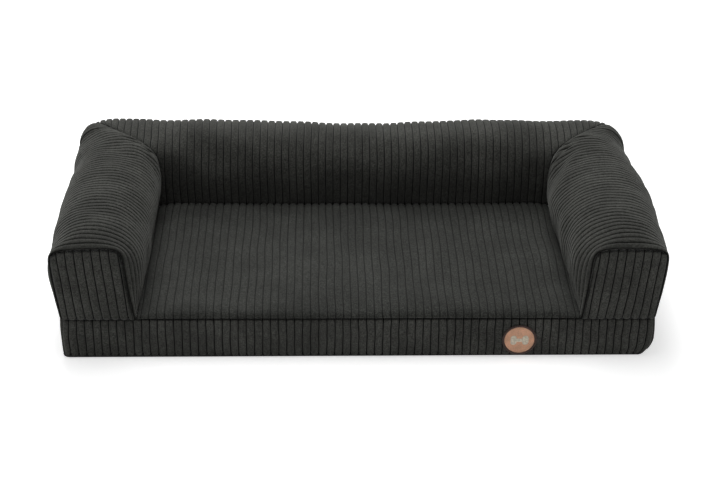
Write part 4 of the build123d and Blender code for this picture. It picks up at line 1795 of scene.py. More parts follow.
@dataclass
class Boxing:
    """The four upright sides of the base, as ribbed strips sewn at the corners.

    Lengths are in metres. The cloth stands out by fullness at its seams and by bulge more
    halfway up. Round the zip's slot it is pressed in by pull_sink, over pull_width to each
    side and pull_rest beyond its ends, where the zip's pull comes to lie.
    """

    sizes: BedSizes
    slot_half: float = 321 * MM
    slot_width: float = 10 * MM
    slot_fade: float = 4 * MM
    zip_height: float = 31 * MM
    bulge: float = 1.3 * MM
    fullness: float = 0.8 * MM
    row_step: float = 2.4 * MM
    fine_rows: tuple[float, ...] = (0.0, 0.3 * MM, 0.9 * MM, 1.7 * MM, 2.6 * MM)
    wander: float = 0.4 * MM
    wander_width: float = 60 * MM
    wander_height: float = 20 * MM
    lump: float = 0.45 * MM
    lump_width: float = 80 * MM
    pull_rest: float = 32 * MM
    pull_fade: float = 5 * MM
    pull_width: float = 9 * MM
    pull_sink: float = 0.9 * MM
    pull_press: float = 0.92
    pull_overlap: float = 12 * MM
    badge_room: float = 1.5 * MM
    badge_rise: float = 0.1 * MM
    press_fade: float = 4 * MM
    seam_ease: float = 0.8
    ease_width: float = 4 * MM
    sewn: float = 0.72
    sewn_width: float = 5 * MM
    stitch_off: float = 3.2 * MM
    stitch_past: float = 2 * MM
    stitch_lift: float = 0.5 * MM
    tack_sink: float = 0.6 * MM
    lip_share: float = 0.4
    corner_roll: float = 0.7
    corner_seam: float = 0.6 * MM
    seams: list[Array] = field(default_factory=list)

    def walls(self) -> list[Wall]:
        """The strips, with the rear one in two where the zip is.

        Returns:
            The front, left, right, lower rear and upper rear strips.
        """
        size = self.sizes
        front, rear = size.front_corner, size.rear_corner
        wide, narrow = size.half_width - front, size.half_width - rear
        full = (size.bottom, size.seam)
        side = (-size.half_depth + front, size.half_depth - rear, front, rear, *full)
        back = (Facing.BACK, -narrow, narrow, rear, rear)
        lower, upper = (size.bottom, self.zip_height), (self.zip_height, size.seam)
        lip = self.slot_width / 2 - size.roll * self.lip_share
        badge = Badge.place()
        return [
            Wall("base_front_boxing", Facing.FRONT, -wide, wide, front, front, *full, badge=badge),
            Wall("base_left_boxing", Facing.LEFT, *side),
            Wall("base_right_boxing", Facing.RIGHT, *side),
            Wall("base_back_lower_boxing", *back, *lower, self.slot_half, 0.0, lip),
            Wall("base_back_upper_boxing", *back, *upper, self.slot_half, lip, 0.0),
        ]

    def pressed(self, wall: Wall, shifted: Array, z: Array, out: Array) -> tuple[Array, Array]:
        """Presses a strip in under the badge and where the zip's pull comes to lie.

        Args:
            wall: The strip.
            shifted: Places along it.
            z: Heights.
            out: How far the strip stands out.

        Returns:
            How far it stands out once pressed, and how much of the ribs' height that takes.
        """
        flat = np.zeros_like(z)
        if wall.badge:
            across, up, radius = wall.badge
            inside = radius + self.badge_room - np.hypot(shifted - across, z - up)
            flat = ramp(inside, self.press_fade)
        out = out * (1 - flat) + self.badge_rise * flat
        if wall.slot_half:
            beyond = ramp(wall.slot_half + self.pull_rest - np.abs(shifted), self.pull_fade)
            beyond = beyond * ramp(self.pull_width - np.abs(z - self.zip_height), self.press_fade)
            beyond = beyond * (np.abs(shifted) > wall.slot_half - self.pull_overlap)
            sunk = np.minimum(out, out * (1 - beyond) - self.pull_sink * beyond)
            out = np.where(beyond > 0, sunk, out)
            flat = np.maximum(flat, self.pull_press * beyond)
        return out, flat

    def set_round(self, wall: Wall, shifted: Array, z: Array, out: Array) -> tuple[Array, Array]:
        """Sets a strip round its side of the base and half of each corner.

        Args:
            wall: The strip.
            shifted: Places along it.
            z: Heights.
            out: How far the strip stands out.

        Returns:
            The strip's points, and the way that each of them faces.
        """
        quarter = math.pi / 4
        low_turn = np.clip((wall.low - shifted) / wall.low_radius, 0, quarter)
        high_turn = np.clip((shifted - wall.high) / wall.high_radius, 0, quarter)
        low_out, high_out = wall.low_radius + out, wall.high_radius + out
        along = np.clip(shifted, wall.low, wall.high)
        along = along - low_out * np.sin(low_turn) + high_out * np.sin(high_turn)
        inset = np.where(low_turn > 0, wall.low_radius - low_out * np.cos(low_turn), -out)
        inset = np.where(high_turn > 0, wall.high_radius - high_out * np.cos(high_turn), inset)
        axis, end = wall.facing.value
        half = (self.sizes.half_width, self.sizes.half_depth)[axis]
        points, way = np.zeros((*z.shape, 3)), np.zeros((*z.shape, 3))
        points[..., axis] = end * (half - inset)
        points[..., 1 - axis] = along
        points[..., 2] = z
        way[..., axis] = end * np.cos(high_turn + low_turn)
        way[..., 1 - axis] = np.sin(high_turn) - np.sin(low_turn)
        return self.sizes.tuck(points), way

    def strip(self, wall: Wall, shop: Workshop, seed: int) -> ClothGrid:
        """One strip's grid.

        Args:
            wall: The strip.
            shop: The workshop, for the ribs' rule.
            seed: The seed of its unevenness.

        Returns:
            The strip's grid.
        """
        size = self.sizes
        quarter = math.pi / 4
        low, high = wall.low - wall.low_radius * quarter, wall.high + wall.high_radius * quarter
        columns = shop.ribs.columns(low, high)
        near_slot = ramp(wall.slot_half - np.abs(columns), self.slot_fade)
        near_slot = near_slot * near_slot * (3 - 2 * near_slot) if wall.slot_half else near_slot * 0
        bottom = wall.bottom + wall.slot_low * near_slot
        top = wall.top - wall.slot_high * near_slot
        shares = arc_rows(wall.top - wall.bottom, self.row_step, self.fine_rows)
        z = bottom[None, :] + shares[:, None] * (top - bottom)[None, :]
        wale = np.broadcast_to(columns, z.shape)
        strayed = Drift(seed, self.wander_width).at(wale, z * 1.5)
        free = np.clip((z - wall.bottom) / self.wander_height, 0.4, 1)
        shifted = wale + self.wander * strayed * free
        to_bottom, to_top = z - bottom, top - z
        rounding = shop.ribs.end_rounding(wale, size.rib_end)
        to_edge = np.minimum(to_bottom, to_top)
        ends = np.minimum(wale - columns[0], columns[-1] - wale)
        sunk = rolled(np.maximum(to_edge - rounding, 0), size.roll)
        sunk = np.maximum(sunk, rolled(ends, size.roll * self.corner_roll))
        rise = np.clip((z - size.bottom) / (size.seam - size.bottom), 0, 1)
        out = self.fullness + self.bulge * np.sin(math.pi * rise) - sunk
        out = out + self.lump * Drift(seed + 5, self.lump_width).at(wale, z)
        out, flat = self.pressed(wall, shifted, z, out)
        points, way = self.set_round(wall, shifted, z, out)
        ease = self.seam_ease + (1 - self.seam_ease) * ramp(to_edge, self.ease_width)
        ease = ease * (1 - flat)
        if wall.slot_half:
            off = to_bottom if wall.slot_low == 0 else to_top
            ease = ease * (1 - self.sewn * near_slot * bell(off, self.sewn_width, 4))
            row = int(np.argmin(np.abs(off[:, len(columns) // 2] - self.stitch_off)))
            span = np.abs(columns) < wall.slot_half + self.stitch_past
            self.seams.append(points[row, span] + np.array([0, self.stitch_lift, 0]))
        seam = np.minimum(to_edge - rounding * shop.ribs.seam_share, ends + self.corner_seam)
        axis, end = wall.facing.value
        return ClothGrid(points, wale, z, ease, (end > 0) == (axis == 0), None, seam, way)

    def build(self, shop: Workshop) -> None:
        """Builds and dresses every strip.

        Args:
            shop: The workshop.
        """
        for number, wall in enumerate(self.walls()):
            piece = self.strip(wall, shop, 40 + number).piece(wall.name)
            # The strips take the lighter copy of the corduroy, whose brighter colour is painted light.
            shop.rib(piece, shop.painted_light_corduroy, narrow=True)
            shop.finish(piece, "corduroy", wall.name)
        topstitch(shop, "base_zip_topstitch", self.seams, (0.0, 1.0, 0.0))
        y = self.sizes.half_depth - self.tack_sink
        spots = [np.array([side * self.slot_half, y, self.zip_height]) for side in (-1, 1)]
        bar_tacks(shop, "base_zip_bar_tacks", spots, self.slot_width + 1 * MM)


@dataclass
class SleepingPanel:
    """The ribbed panel that a dog lies on, rolled over the foam's front edge.

    Lengths are in metres. Towards its sides the panel sinks to side_share of its height. A
    bead is how high each rib ends at a seam, how far from the seam, and over what width.
    front_line and rear_line are its section, in millimetres back from the front seam or the
    foot of the back, and up.
    """

    sizes: BedSizes
    name: str = "sleeping_panel"
    side_gap: float = 0.3 * MM
    side_valley: float = 17 * MM
    side_share: float = 0.42
    row_step: float = 3.9 * MM
    fine_rows: tuple[float, ...] = (
        0.0, 0.8 * MM, 1.8 * MM, 3.0 * MM, 4.4 * MM, 6.2 * MM, 8.5 * MM, 11.5 * MM, 15 * MM
    )
    lump: float = 0.9 * MM
    lump_width: float = 150 * MM
    lump_fade: float = 40 * MM
    wander: float = 0.7 * MM
    wander_width: float = 80 * MM
    wander_fade: float = 20 * MM
    front_line: tuple[tuple[float, float], ...] = (
        (3.4, 0), (1.2, 0.3), (-0.2, 1.4), (-0.6, 3.2), (0.1, 5.3), (2.6, 7.4), (7, 9), (15, 10), (32, 10.8)
    )
    rear_line: tuple[tuple[float, float], ...] = (
        (-150, 11.8), (-45, 10.8), (-20, 9.8), (-9, 8.6), (-4, 6.6), (-1.5, 3.6), (-0.6, 0.6)
    )
    front_bead: tuple[float, float, float] = (0.8 * MM, 3 * MM, 4 * MM)
    rear_bead: tuple[float, float, float] = (2.0 * MM, 6 * MM, 7 * MM)
    bead_share: float = 0.55
    seam_ease: float = 0.45
    open_ease: float = 0.5
    ease_width: float = 10 * MM

    def profile(self) -> Array:
        """The panel's line from the front seam to the back, as distance back and height over the seam.

        Returns:
            Points of the line.
        """
        back = 2 * self.sizes.half_depth - self.sizes.bolster_width
        line = np.concatenate([np.array(self.front_line) * MM, np.array(self.rear_line) * MM + [back, 0]])
        steps = np.linspace(0, len(line) - 1, 601)
        return cubic_read(line[:, None, :], steps, np.zeros_like(steps))

    def build(self, shop: Workshop) -> None:
        """Builds and dresses the panel.

        Args:
            shop: The workshop.
        """
        size = self.sizes
        half = size.half_width - size.bolster_width - self.side_gap
        line = self.profile()
        run = np.concatenate([[0], np.cumsum(np.linalg.norm(np.diff(line, axis=0), axis=-1))])
        shares = arc_rows(run[-1], self.row_step, self.fine_rows)
        back, up = (np.interp(shares * run[-1], run, line[:, i])[:, None] for i in range(2))
        columns = shop.ribs.columns(-half, half)
        wale = np.broadcast_to(columns, (len(shares), len(columns)))
        around = np.broadcast_to((shares * run[-1])[:, None], wale.shape)
        to_side, to_rear = half - np.abs(wale), run[-1] - around
        ends = np.minimum(around, to_rear)
        sag = self.side_share + (1 - self.side_share) * (1 - bell(to_side, self.side_valley))
        lumps = Drift(23, self.lump_width).at(wale, around) * ramp(ends, self.lump_fade)
        strayed = Drift(29, self.wander_width).at(wale, around) * ramp(to_side, self.wander_fade)
        depth = np.broadcast_to(back - size.half_depth, wale.shape)
        height = up * sag + self.lump * lumps
        points = np.stack([wale + self.wander * strayed, depth, size.seam + height], axis=-1)
        points = points + self.settle_form(points)
        turn = np.abs((wale / shop.ribs.pitch) % 1 - 0.5) * 2
        for (rise, off, width), distance in ((self.front_bead, around), (self.rear_bead, to_rear)):
            points[..., 2] += (self.bead_share - turn**2) * rise * bell(distance - off, width)
        ease = self.seam_ease + (self.open_ease - self.seam_ease) * ramp(ends, self.ease_width)
        seam = np.minimum(ends - 0.8 * MM * turn**3, to_side)
        piece = ClothGrid(points, wale, around, ease, True, None, seam).piece(self.name)
        # The panel takes the darker copy of the corduroy: its darker colour is painted shade, its paler
        # grooves the pressed pile.
        shop.rib(piece, shop.pressed_and_shaded_corduroy)
        shop.finish(piece, "corduroy", self.name)

    def settle_form(self, points: Array) -> Array:
        """How the panel lies over its foam once it is sewn in at its edges.

        Args:
            points: The panel as it was cut.

        Returns:
            How far each point moves.
        """
        rows = np.linspace(0, points.shape[0] - 1, 42)
        columns = np.linspace(0, points.shape[1] - 1, 60)
        coarse = resample(points, rows, columns)
        held = np.zeros(coarse.shape[:2])
        held[[0, 1, 2, -2, -1], :] = 1
        held[:, [0, -1]] = 1
        moved = Stuffing(pressure=0.6, slack=0.004, cap=1.4 * MM).swell(coarse, held, True)
        back_rows, back_columns = (
            np.interp(np.arange(count), places, np.arange(len(places)))
            for count, places in zip(points.shape, (rows, columns))
        )
        return resample(moved, back_rows, back_columns)


@dataclass
class Badge:
    """A round sewn-on badge: felt ground, overlocked border and a plain bone in satin stitch.

    bone is its length, the width of its shank, the radius of its knobs and how far a knob's
    middle lies from the bone's. lift is how far the felt stands in front of its backing.
    """

    low: Vector
    high: Vector
    bone: tuple[float, float, float, float] = (23 * MM, 5.2 * MM, 3.9 * MM, 3.3 * MM)
    lift: float = 2.0 * MM
    raised: float = 0.9 * MM
    wider: float = 1.2 * MM
    felt_share: float = 0.93
    border_inset: float = 1.3 * MM
    border_lift: float = 0.3 * MM
    satin_pitch: float = 0.42 * MM
    satin_slant: float = 0.15 * MM
    satin_lift: float = 0.75 * MM
    satin_bow: float = 0.35 * MM
    satin_thread: tuple[float, float] = (0.3 * MM, 0.4 * MM)
    satin_end: tuple[float, float] = (0.1 * MM, 0.12 * MM)
    shortest: float = 0.6 * MM
    satin_margin: float = 0.3 * MM
    satin_steps: tuple[float, ...] = (0.0, 0.08, 0.3, 0.7, 0.92, 1.0)
    felt_edge: float = 0.2 * MM
    dome: tuple[tuple[float, float], ...] = ((0.8, 0.35), (0.5, 0.5), (0.1, 0.55))
    border_pitch: float = 0.62 * MM
    border_stitch: tuple[float, float, float] = (3.4 * MM, 0.85 * MM, 1.5 * MM)
    border_slant: float = math.radians(74)

    @classmethod
    def from_frame(cls) -> "Badge":
        """Reads the badge's place from its border."""
        return cls(*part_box("badge_border"))

    @classmethod
    def place(cls) -> tuple[float, float, float]:
        """The badge's centre across and up, and its radius."""
        badge = cls.from_frame()
        middle = (badge.low + badge.high) / 2
        return middle.x, middle.z + badge.raised, (badge.high.x - badge.low.x) / 2 + badge.wider

    def disc(self, radius: float, depth: float) -> Array:
        """A ring of points on the badge.

        Args:
            radius: The ring's radius.
            depth: How far in front of the boxing it lies.

        Returns:
            The ring's points.
        """
        x, z, _ = self.place()
        turn = np.linspace(0, math.tau, 97)[:-1]
        y = np.full_like(turn, self.high.y - depth)
        return np.stack([x + radius * np.cos(turn), y, z + radius * np.sin(turn)], axis=-1)

    def bone_span(self, across: float) -> tuple[float, float]:
        """The lowest and highest point of the bone at a place along it.

        Args:
            across: The place, from the bone's middle.

        Returns:
            Both heights, from the bone's middle.
        """
        length, shank, knob, spread = self.bone
        off = abs(abs(across) - (length / 2 - knob))
        top = spread + math.sqrt(max(knob**2 - off**2, 0)) if off < knob else 0.0
        top = max(top, shank / 2 if abs(across) < length / 2 - knob else 0.0)
        return -top, top

    def build(self, shop: Workshop) -> None:
        """Builds and dresses the ground, the border and the bone.

        Args:
            shop: The workshop.
        """
        x, z, radius = self.place()
        felt = radius * self.felt_share
        rings = [self.disc(felt, self.felt_edge), self.disc(felt, self.lift)]
        rings += [self.disc(radius * share, self.lift + rise * MM) for share, rise in self.dome]
        ground = loft("badge_ground_felt", rings, shop.badge_ground)
        shop.finish(ground, "badge_ground", "badge_backing")
        border = StitchRow(self.border_pitch, self.border_stitch, self.border_slant)
        ring = self.disc(radius - self.border_inset, self.lift + self.border_lift)
        line = np.concatenate([ring, ring[:1]])
        edge = border.lay("badge_overlocked_border", [line], shop.badge_thread)
        shop.finish(edge, "badge_thread", "badge_border")
        lines = []
        y = self.high.y - self.lift - self.satin_lift
        end = self.bone[0] / 2
        for across in np.arange(self.satin_margin - end, end, self.satin_pitch):
            low, high = self.bone_span(float(across))
            if high > self.shortest:
                start = [x + across, y, z + low]
                lines.append(np.array([start, [x + across + self.satin_slant, y, z + high]]))
        self.satin(shop, lines)

    def satin(self, shop: Workshop, lines: list[Array]) -> None:
        """Builds the bone from threads laid side by side, each a flat bow.

        Args:
            shop: The workshop.
            lines: The two ends of each thread.
        """
        rings, faces = [], []
        turn = np.linspace(0, math.tau, 7)[:-1]
        for start, end in lines:
            faces += ring_faces(len(self.satin_steps), len(turn), len(rings) * len(turn))
            for t in self.satin_steps:
                middle = start * (1 - t) + end * t
                bow = math.sin(math.pi * t) ** 0.5 * self.satin_bow
                wide, deep = self.satin_thread if 0 < t < 1 else self.satin_end
                x, y = middle[0] + wide * np.cos(turn), middle[1] - bow + deep * np.sin(turn)
                rings.append(np.stack([x, y, np.full(len(turn), middle[2])], axis=-1))
        bone = new_piece("badge_bone_satin", np.concatenate(rings).tolist(), faces)
        bone.data.materials.append(shop.badge_stitch)
        tidy_normals(bone)
        shade_smooth(bone.data)
        shop.finish(bone, "badge_stitch", "badge_motif")


@dataclass
class Zip:
    """One closed zip behind its slot: two woven tapes and two rows of moulded teeth."""

    name: str
    pitch: float = 3 * MM
    tape_step: float = 4 * MM
    tape_wall: float = 0.55 * MM
    tape_back: float = 0.15 * MM
    cord: float = 0.5 * MM
    wave: float = 0.12 * MM
    wave_width: float = 30 * MM
    tooth: tuple[float, float] = (1.7 * MM, 2.9 * MM)
    row_off: float = 1.25 * MM
    bevel: float = 0.25 * MM

    def tape(self, side: str, shop: Workshop) -> None:
        """Builds one woven tape, with a slight wave along it and a corded inner edge.

        Args:
            side: upper or lower.
            shop: The workshop.
        """
        node = f"{self.name}_{side}_tape"
        upper = side == "upper"
        low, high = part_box(node)
        x = np.linspace(low.x, high.x, int((high.x - low.x) / self.tape_step))
        across = np.array([0.0, 0.08, 0.16, 0.3, 0.5, 0.7, 0.85, 1.0])
        z = low.z + (high.z - low.z) * (across if upper else 1 - across)
        cord = np.exp(-((across - 0.06) ** 2) / 0.004) * self.cord
        wave = self.wave * Drift(5, self.wave_width).at(x[None, :], z[:, None])
        y = high.y - self.tape_back + cord[:, None] + wave
        grid = np.stack(np.broadcast_arrays(x[None, :], y, z[:, None]), axis=-1)
        tape = ClothGrid(grid, grid[..., 0], grid[..., 2], np.ones(y.shape), upper)
        piece = tape.piece(node + "_weave")
        piece.data.materials.append(shop.tape)
        thicken(piece, "tape", self.tape_wall)
        shop.finish(piece, "zip_tape", node)

    def teeth(self, shop: Workshop) -> None:
        """Builds the two rows of teeth, half a pitch apart.

        Args:
            shop: The workshop.
        """
        node = f"{self.name}_teeth"
        low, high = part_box(node)
        middle, y = (low.z + high.z) / 2, (low.y + high.y) / 2
        lines = []
        for side in (1, -1):
            z = middle + side * self.row_off
            start = low.x + self.pitch / 2 + side * self.pitch / 4
            end = high.x - self.pitch / 2 + side * self.pitch / 4
            lines.append(np.array([[start, y, z], [end, y, z]]))
        size = (*self.tooth, high.y - low.y)
        row = StitchRow(self.pitch, size, outward=(0.0, 1.0, 0.0), block=True)
        piece = row.lay(node + "_moulded", lines, shop.teeth)
        bevel = piece.modifiers.new("edges", "BEVEL")
        bevel.width = self.bevel
        bevel.segments = 1
        bevel.limit_method = "ANGLE"
        settle(piece)
        shop.finish(piece, "zip_teeth", node)

    def build(self, shop: Workshop) -> None:
        """Builds and dresses the tapes and teeth, and dresses the stops, the slider and the pull.

        Args:
            shop: The workshop.
        """
        self.tape("upper", shop)
        self.tape("lower", shop)
        self.teeth(shop)
        for part, material in (("stops", shop.teeth), ("slider", shop.metal), ("pull", shop.metal)):
            dress_node(f"{self.name}_{part}", material)


@dataclass
class MattressCore:
    """The foam slab and the white liner round it, inside the base.

    bow is how far the slab's sides draw in, in millimetres, at shares of its height.
    """

    sizes: BedSizes
    liner_inset: float = 10 * MM
    foam_inset: float = 12 * MM
    bow: tuple[tuple[float, float], ...] = (
        (0.0, 3.0), (0.03, 1.2), (0.1, 0.3), (0.5, -0.4), (0.9, 0.3), (0.97, 1.2), (1.0, 3.0)
    )

    def build(self, shop: Workshop) -> None:
        """Builds and dresses the liner and the foam.

        Args:
            shop: The workshop.
        """
        size = self.sizes
        for node, inset, material, slot in (
            ("mattress_liner", self.liner_inset, shop.case, "case_cloth"),
            ("mattress_foam", self.foam_inset, shop.foam, "foam"),
        ):
            rings = []
            low, high = size.bottom + inset / 2, size.seam - inset / 4
            for share, draw in self.bow:
                half_x = size.half_width - inset - draw * MM
                half_y = size.half_depth - inset - draw * MM
                ring = rounded_outline(half_x, half_y, size.front_corner, size.rear_corner - inset)
                ring[:, 2] = low + (high - low) * share
                rings.append(ring)
            piece = loft(node + "_slab", rings, material)
            shop.finish(piece, slot, node)


@dataclass
class Underside:
    """The dark woven underside with its moulded grip dots."""

    sizes: BedSizes
    pitch: float = 32 * MM
    margin: float = 24 * MM
    dot: float = 3.4 * MM
    height: float = 0.8 * MM
    thickness: float = 1.1 * MM
    overhang: float = 0.6 * MM

    def build(self, shop: Workshop) -> None:
        """Builds and dresses the cloth and its dots.

        Args:
            shop: The workshop.
        """
        size = self.sizes
        half_x, half_y = size.half_width + self.overhang, size.half_depth + self.overhang
        outline = rounded_outline(half_x, half_y, size.front_corner, size.rear_corner)
        top = self.height + self.thickness
        rings = []
        for share, z in (
            (0.5, self.height), (0.97, self.height), (1.0, self.height + 0.3 * MM), (1.0, top), (0.5, top)
        ):
            drawn = 1 - (1 - share) * 0.2
            ring = outline * [drawn, drawn, 1]
            ring[:, 2] = z
            rings.append(size.tuck(ring))
        cloth = loft("grip_underside", rings, shop.grip)
        shade_smooth(cloth.data, False)
        reach = int((size.half_width - self.margin) // self.pitch) * self.pitch
        along = int((size.half_depth - self.margin) // self.pitch)
        rows = np.arange(-along, along + 1) * self.pitch
        lines = [np.array([[-reach, y, self.height], [reach, y, self.height]]) for y in rows]
        row = StitchRow(self.pitch, (self.dot, self.dot, self.height * 2), outward=(0.0, 0.0, 1.0))
        dots = row.lay("grip_dots", lines, shop.rubber)
        shop.finish(cloth, "grip_cloth", "grip_bottom_panel")
        shop.finish(dots, "grip_cloth")


@dataclass
class FloorPanel:
    """The lining under one stretch of the bolster, from foot to foot."""

    run: BolsterRun
    rise: float = 0.5 * MM
    wave: float = 0.3 * MM
    wave_width: float = 60 * MM
    thickness: float = 0.8 * MM

    def build(self, shop: Workshop) -> None:
        """Builds and dresses the lining.

        Args:
            shop: The workshop.
        """
        run = self.run
        outer, inner = run.form[0], run.form[-1]
        shares = np.linspace(0.03, 0.97, 9)[:, None, None]
        points = outer[None] * (1 - shares) + inner[None] * shares
        points = points[:, ::4].copy()
        across = points[..., 0].copy()
        waves = Drift(9, self.wave_width).at(across, points[..., 1])
        points[..., 2] = run.sizes.seam + self.rise + self.wave * waves
        node = f"{run.side.value}_floor_panel"
        flip = run.side is not Side.RIGHT
        panel = ClothGrid(points, across, points[..., 1], np.ones(across.shape), flip)
        piece = panel.piece(node + "_lining")
        piece.data.materials.append(shop.lining)
        thicken(piece, "lining", self.thickness, 0.0)
        shop.finish(piece, "lining", node)


@dataclass(frozen=True)
class Lamp:
    """A soft square lamp that points at a place. Lengths are in metres, its power in watts."""

    name: str
    place: tuple[float, float, float]
    target: tuple[float, float, float]
    size: float
    power: float

    def hang(self) -> None:
        """Adds the lamp to the scene."""
        data = bpy.data.lights.new(self.name, "AREA")
        data.size = self.size
        data.energy = self.power
        lamp = bpy.data.objects.new(self.name, data)
        lamp.location = self.place
        aim = Vector(self.target) - Vector(self.place)
        lamp.rotation_euler = aim.to_track_quat("-Z", "Y").to_euler()
        bpy.context.scene.collection.objects.link(lamp)


@dataclass(frozen=True)
class View:
    """The camera that the photograph was taken from, and plain studio light.

    down, yaw and roll turn the camera, in degrees. sky is the strength of the world's light
    on the bed. The floor glows to the camera by near_glow at near and by far_glow at far.
    """

    eye: tuple[float, float, float] = (-0.0525, -2.030, 1.2126)
    down: float = 29.565
    yaw: float = 1.64
    roll: float = 0.75
    lens: float = 84.6
    lamps: tuple[Lamp, ...] = (
        Lamp("key", (-0.3, 1.9, 1.9), (0, 0.02, 0), 1.6, 39),
        Lamp("top", (-0.2, 0.2, 2.4), (0, 0.02, 0), 1.6, 24),
        Lamp("front", (-0.5, -2.4, 0.8), (0, -0.2, 0.05), 1.4, 4.5),
    )
    sky: float = 0.25
    floor_reach: float = 12.0
    floor_colour: float = 0.9
    near: float = 0.5
    far: float = 3.0
    near_glow: float = 0.58
    far_glow: float = 0.9

    def build(self) -> None:
        """Adds the camera, the lamps, the world and the floor."""
        scene = bpy.context.scene
        camera = bpy.data.objects.new("camera", bpy.data.cameras.new("camera"))
        scene.collection.objects.link(camera)
        camera.location = self.eye
        turns = ((-self.yaw, "Z"), (90 - self.down, "X"), (self.roll, "Z"))
        yaw, down, roll = (Matrix.Rotation(math.radians(angle), 4, axis) for angle, axis in turns)
        camera.rotation_euler = (yaw @ down @ roll).to_euler()
        camera.data.lens = self.lens
        camera.data.sensor_width = 36
        camera.data.clip_end = 30
        scene.camera = camera
        scene.view_settings.view_transform = "Standard"
        for lamp in self.lamps:
            lamp.hang()
        self.world()
        self.floor()

    def white_to_camera(self, graph: NodeGraph) -> NodeSocket:
        """Tells which rays see the white surround.

        Args:
            graph: The graph that asks.

        Returns:
            1 for rays that come straight from the camera, a mirror or a glass, 0 for the rest.
        """
        rays = graph.node("ShaderNodeLightPath").outputs
        seen = graph.math("MAXIMUM", rays["Is Camera Ray"], rays["Is Glossy Ray"])
        return graph.math("MAXIMUM", seen, rays["Is Transmission Ray"])

    def world(self) -> None:
        """A soft grey surround that looks white."""
        world = bpy.data.worlds.new("studio")
        bpy.context.scene.world = world
        world.use_nodes = True
        graph = NodeGraph(world.node_tree)
        surround = world.node_tree.nodes["Background"]
        graph.feed(surround.inputs["Color"], (1, 1, 1, 1))
        strength = graph.spread(self.white_to_camera(graph), 0.0, 1.0, self.sky, 1.0)
        graph.feed(surround.inputs["Strength"], strength)

    def floor(self) -> None:
        """A wide pale floor that keeps the bed's soft shadow."""
        reach = self.floor_reach
        corners = [(-reach, -reach, 0), (reach, -reach, 0), (reach, reach, 0), (-reach, reach, 0)]
        floor = new_piece("floor", corners, [(0, 1, 2, 3)])
        material = bpy.data.materials.new("floor")
        material.use_nodes = True
        graph = NodeGraph(material.node_tree)
        shader = material.node_tree.nodes["Principled BSDF"]
        shade = self.floor_colour
        inputs = {"Base Color": (shade, shade, shade, 1), "Roughness": 0.9, "Specular IOR Level": 0.0}
        graph.fill(shader, inputs)
        away = graph.node("ShaderNodeVectorMath", {0: graph.place()}, operation="LENGTH").outputs["Value"]
        bright = graph.spread(away, self.near, self.far, self.near_glow, self.far_glow)
        glow = graph.product(self.white_to_camera(graph), bright)
        graph.fill(shader, {"Emission Color": (1, 1, 1, 1), "Emission Strength": glow})
        floor.data.materials.append(material)


def dress_node(name: str, material: Material) -> None:
    """Gives a CAD node that stays as it is its finish.

    Args:
        name: The node's name.
        material: Its material.
    """
    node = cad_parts[name]
    for place in node.material_slots:
        place.material = material
    if not node.material_slots:
        node.data.materials.append(material)


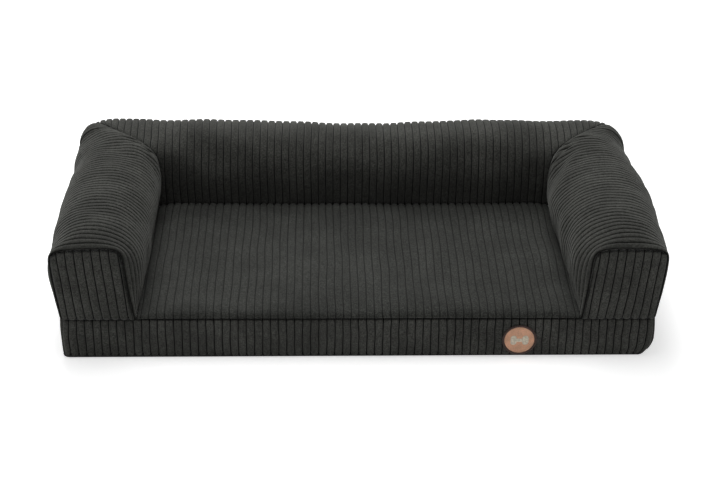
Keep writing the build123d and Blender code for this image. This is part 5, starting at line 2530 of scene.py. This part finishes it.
# The bolster's cross sections along each stretch, as Station takes them: the arms from the front
# seam to the mitre, the back from the left mitre to the right one.
STATIONS = {
    Side.LEFT: (
        (0.0, 3.0, -5.0, 106.0, 4.6, 0.72, 7.0, 4.0),
        (0.04, 6.5, -1.0, 109.5, 3.2, 0.62, 5.0, 3.0),
        (0.1, 10.0, 3.5, 112.5, 2.6, 0.55, 3.0, 2.0),
        (0.25, 14.0, 8.0, 113.0, 2.3, 0.5, 1.0, 1.0),
        (0.5, 16.0, 9.0, 109.5, 2.2, 0.5),
        (0.75, 14.0, 10.0, 105.5, 2.3, 0.5),
        (0.9, 13.0, 9.0, 103.0, 2.8, 0.54),
        (1.0, 16.0, 8.0, 94.0, 4.6, 0.6),
    ),
    Side.RIGHT: (
        (0.0, 3.0, -3.0, 104.0, 4.6, 0.72, 7.0, 1.0),
        (0.04, 6.5, 1.0, 109.0, 3.2, 0.62, 6.0, 1.0),
        (0.1, 12.0, 6.0, 112.5, 2.6, 0.55, 4.0, 1.0),
        (0.25, 18.0, 12.0, 113.5, 2.3, 0.5, 1.0, 0.0),
        (0.5, 21.5, 15.0, 110.0, 2.2, 0.5),
        (0.72, 15.0, 17.0, 106.0, 2.2, 0.5),
        (0.87, 10.0, 12.0, 103.5, 2.3, 0.5),
        (1.0, 10.0, 8.0, 96.5, 3.5, 0.58),
    ),
    Side.BACK: (
        (-1.0, 16.0, 8.0, 94.0, 4.6, 0.6),
        (-0.8, 8.0, 9.0, 105.5, 2.3, 0.5),
        (-0.52, 7.0, 10.0, 105.5, 2.3, 0.5),
        (-0.25, 7.0, 9.0, 103.0, 2.3, 0.5),
        (0.05, 7.0, 8.0, 100.5, 2.3, 0.5),
        (0.3, 7.0, 9.0, 103.0, 2.3, 0.5),
        (0.55, 7.0, 10.0, 106.0, 2.3, 0.5),
        (0.78, 6.0, 9.0, 104.8, 2.3, 0.5),
        (1.0, 10.0, 8.0, 96.5, 3.5, 0.58),
    ),
}
# The puckers that the mitres draw in the arms: each one's two ends, as run and distance from
# the outer foot, its width and its depth, in millimetres.
FOLDS = {
    Side.LEFT: (
        ((352, 70), (350, 128), 5.0, 2.2),
        ((318, 150), (296, 232), 5.0, 2.6),
        ((300, 170), (280, 236), 4.0, 1.8),
    ),
    Side.RIGHT: (
        ((316, 150), (294, 232), 5.0, 2.6),
        ((296, 176), (276, 236), 4.0, 1.8),
        ((352, 72), (350, 124), 5.0, 1.4),
    ),
    Side.BACK: (),
}


def main() -> None:
    """Builds the bed piece by piece and writes how large it is."""
    sizes = BedSizes.from_frame()
    shop = Workshop()
    View().build()
    arm = {"gather": 1.3, "stuffing": Stuffing(cap=5 * MM)}
    back = {"stuffing": Stuffing(pressure=2.0, slack=0.004, cap=2 * MM), "slot": ZipSlot()}
    runs = {}
    for side, cover, seed, settings in (
        (Side.LEFT, "left_arm_cover", 11, arm),
        (Side.RIGHT, "right_arm_cover", 13, arm),
        (Side.BACK, "back_bolster_cover", 12, back),
    ):
        stations = [Station(*row) for row in STATIONS[side]]
        folds = [Fold.from_row(*row) for row in FOLDS[side]]
        runs[side] = BolsterRun(sizes, side, stations, folds, cover, seed, **settings)
        runs[side].build(shop)
    EndPanel(sizes, runs[Side.LEFT], "left_arm_end_panel").build(shop)
    EndPanel(sizes, runs[Side.RIGHT], "right_arm_end_panel").build(shop)
    Boxing(sizes).build(shop)
    SleepingPanel(sizes).build(shop)
    MattressCore(sizes).build(shop)
    Underside(sizes).build(shop)
    for run in runs.values():
        FloorPanel(run).build(shop)
    Badge.from_frame().build(shop)
    Zip("base_zip").build(shop)
    Zip("bolster_zip").build(shop)


if __name__ == "__main__":
    main()
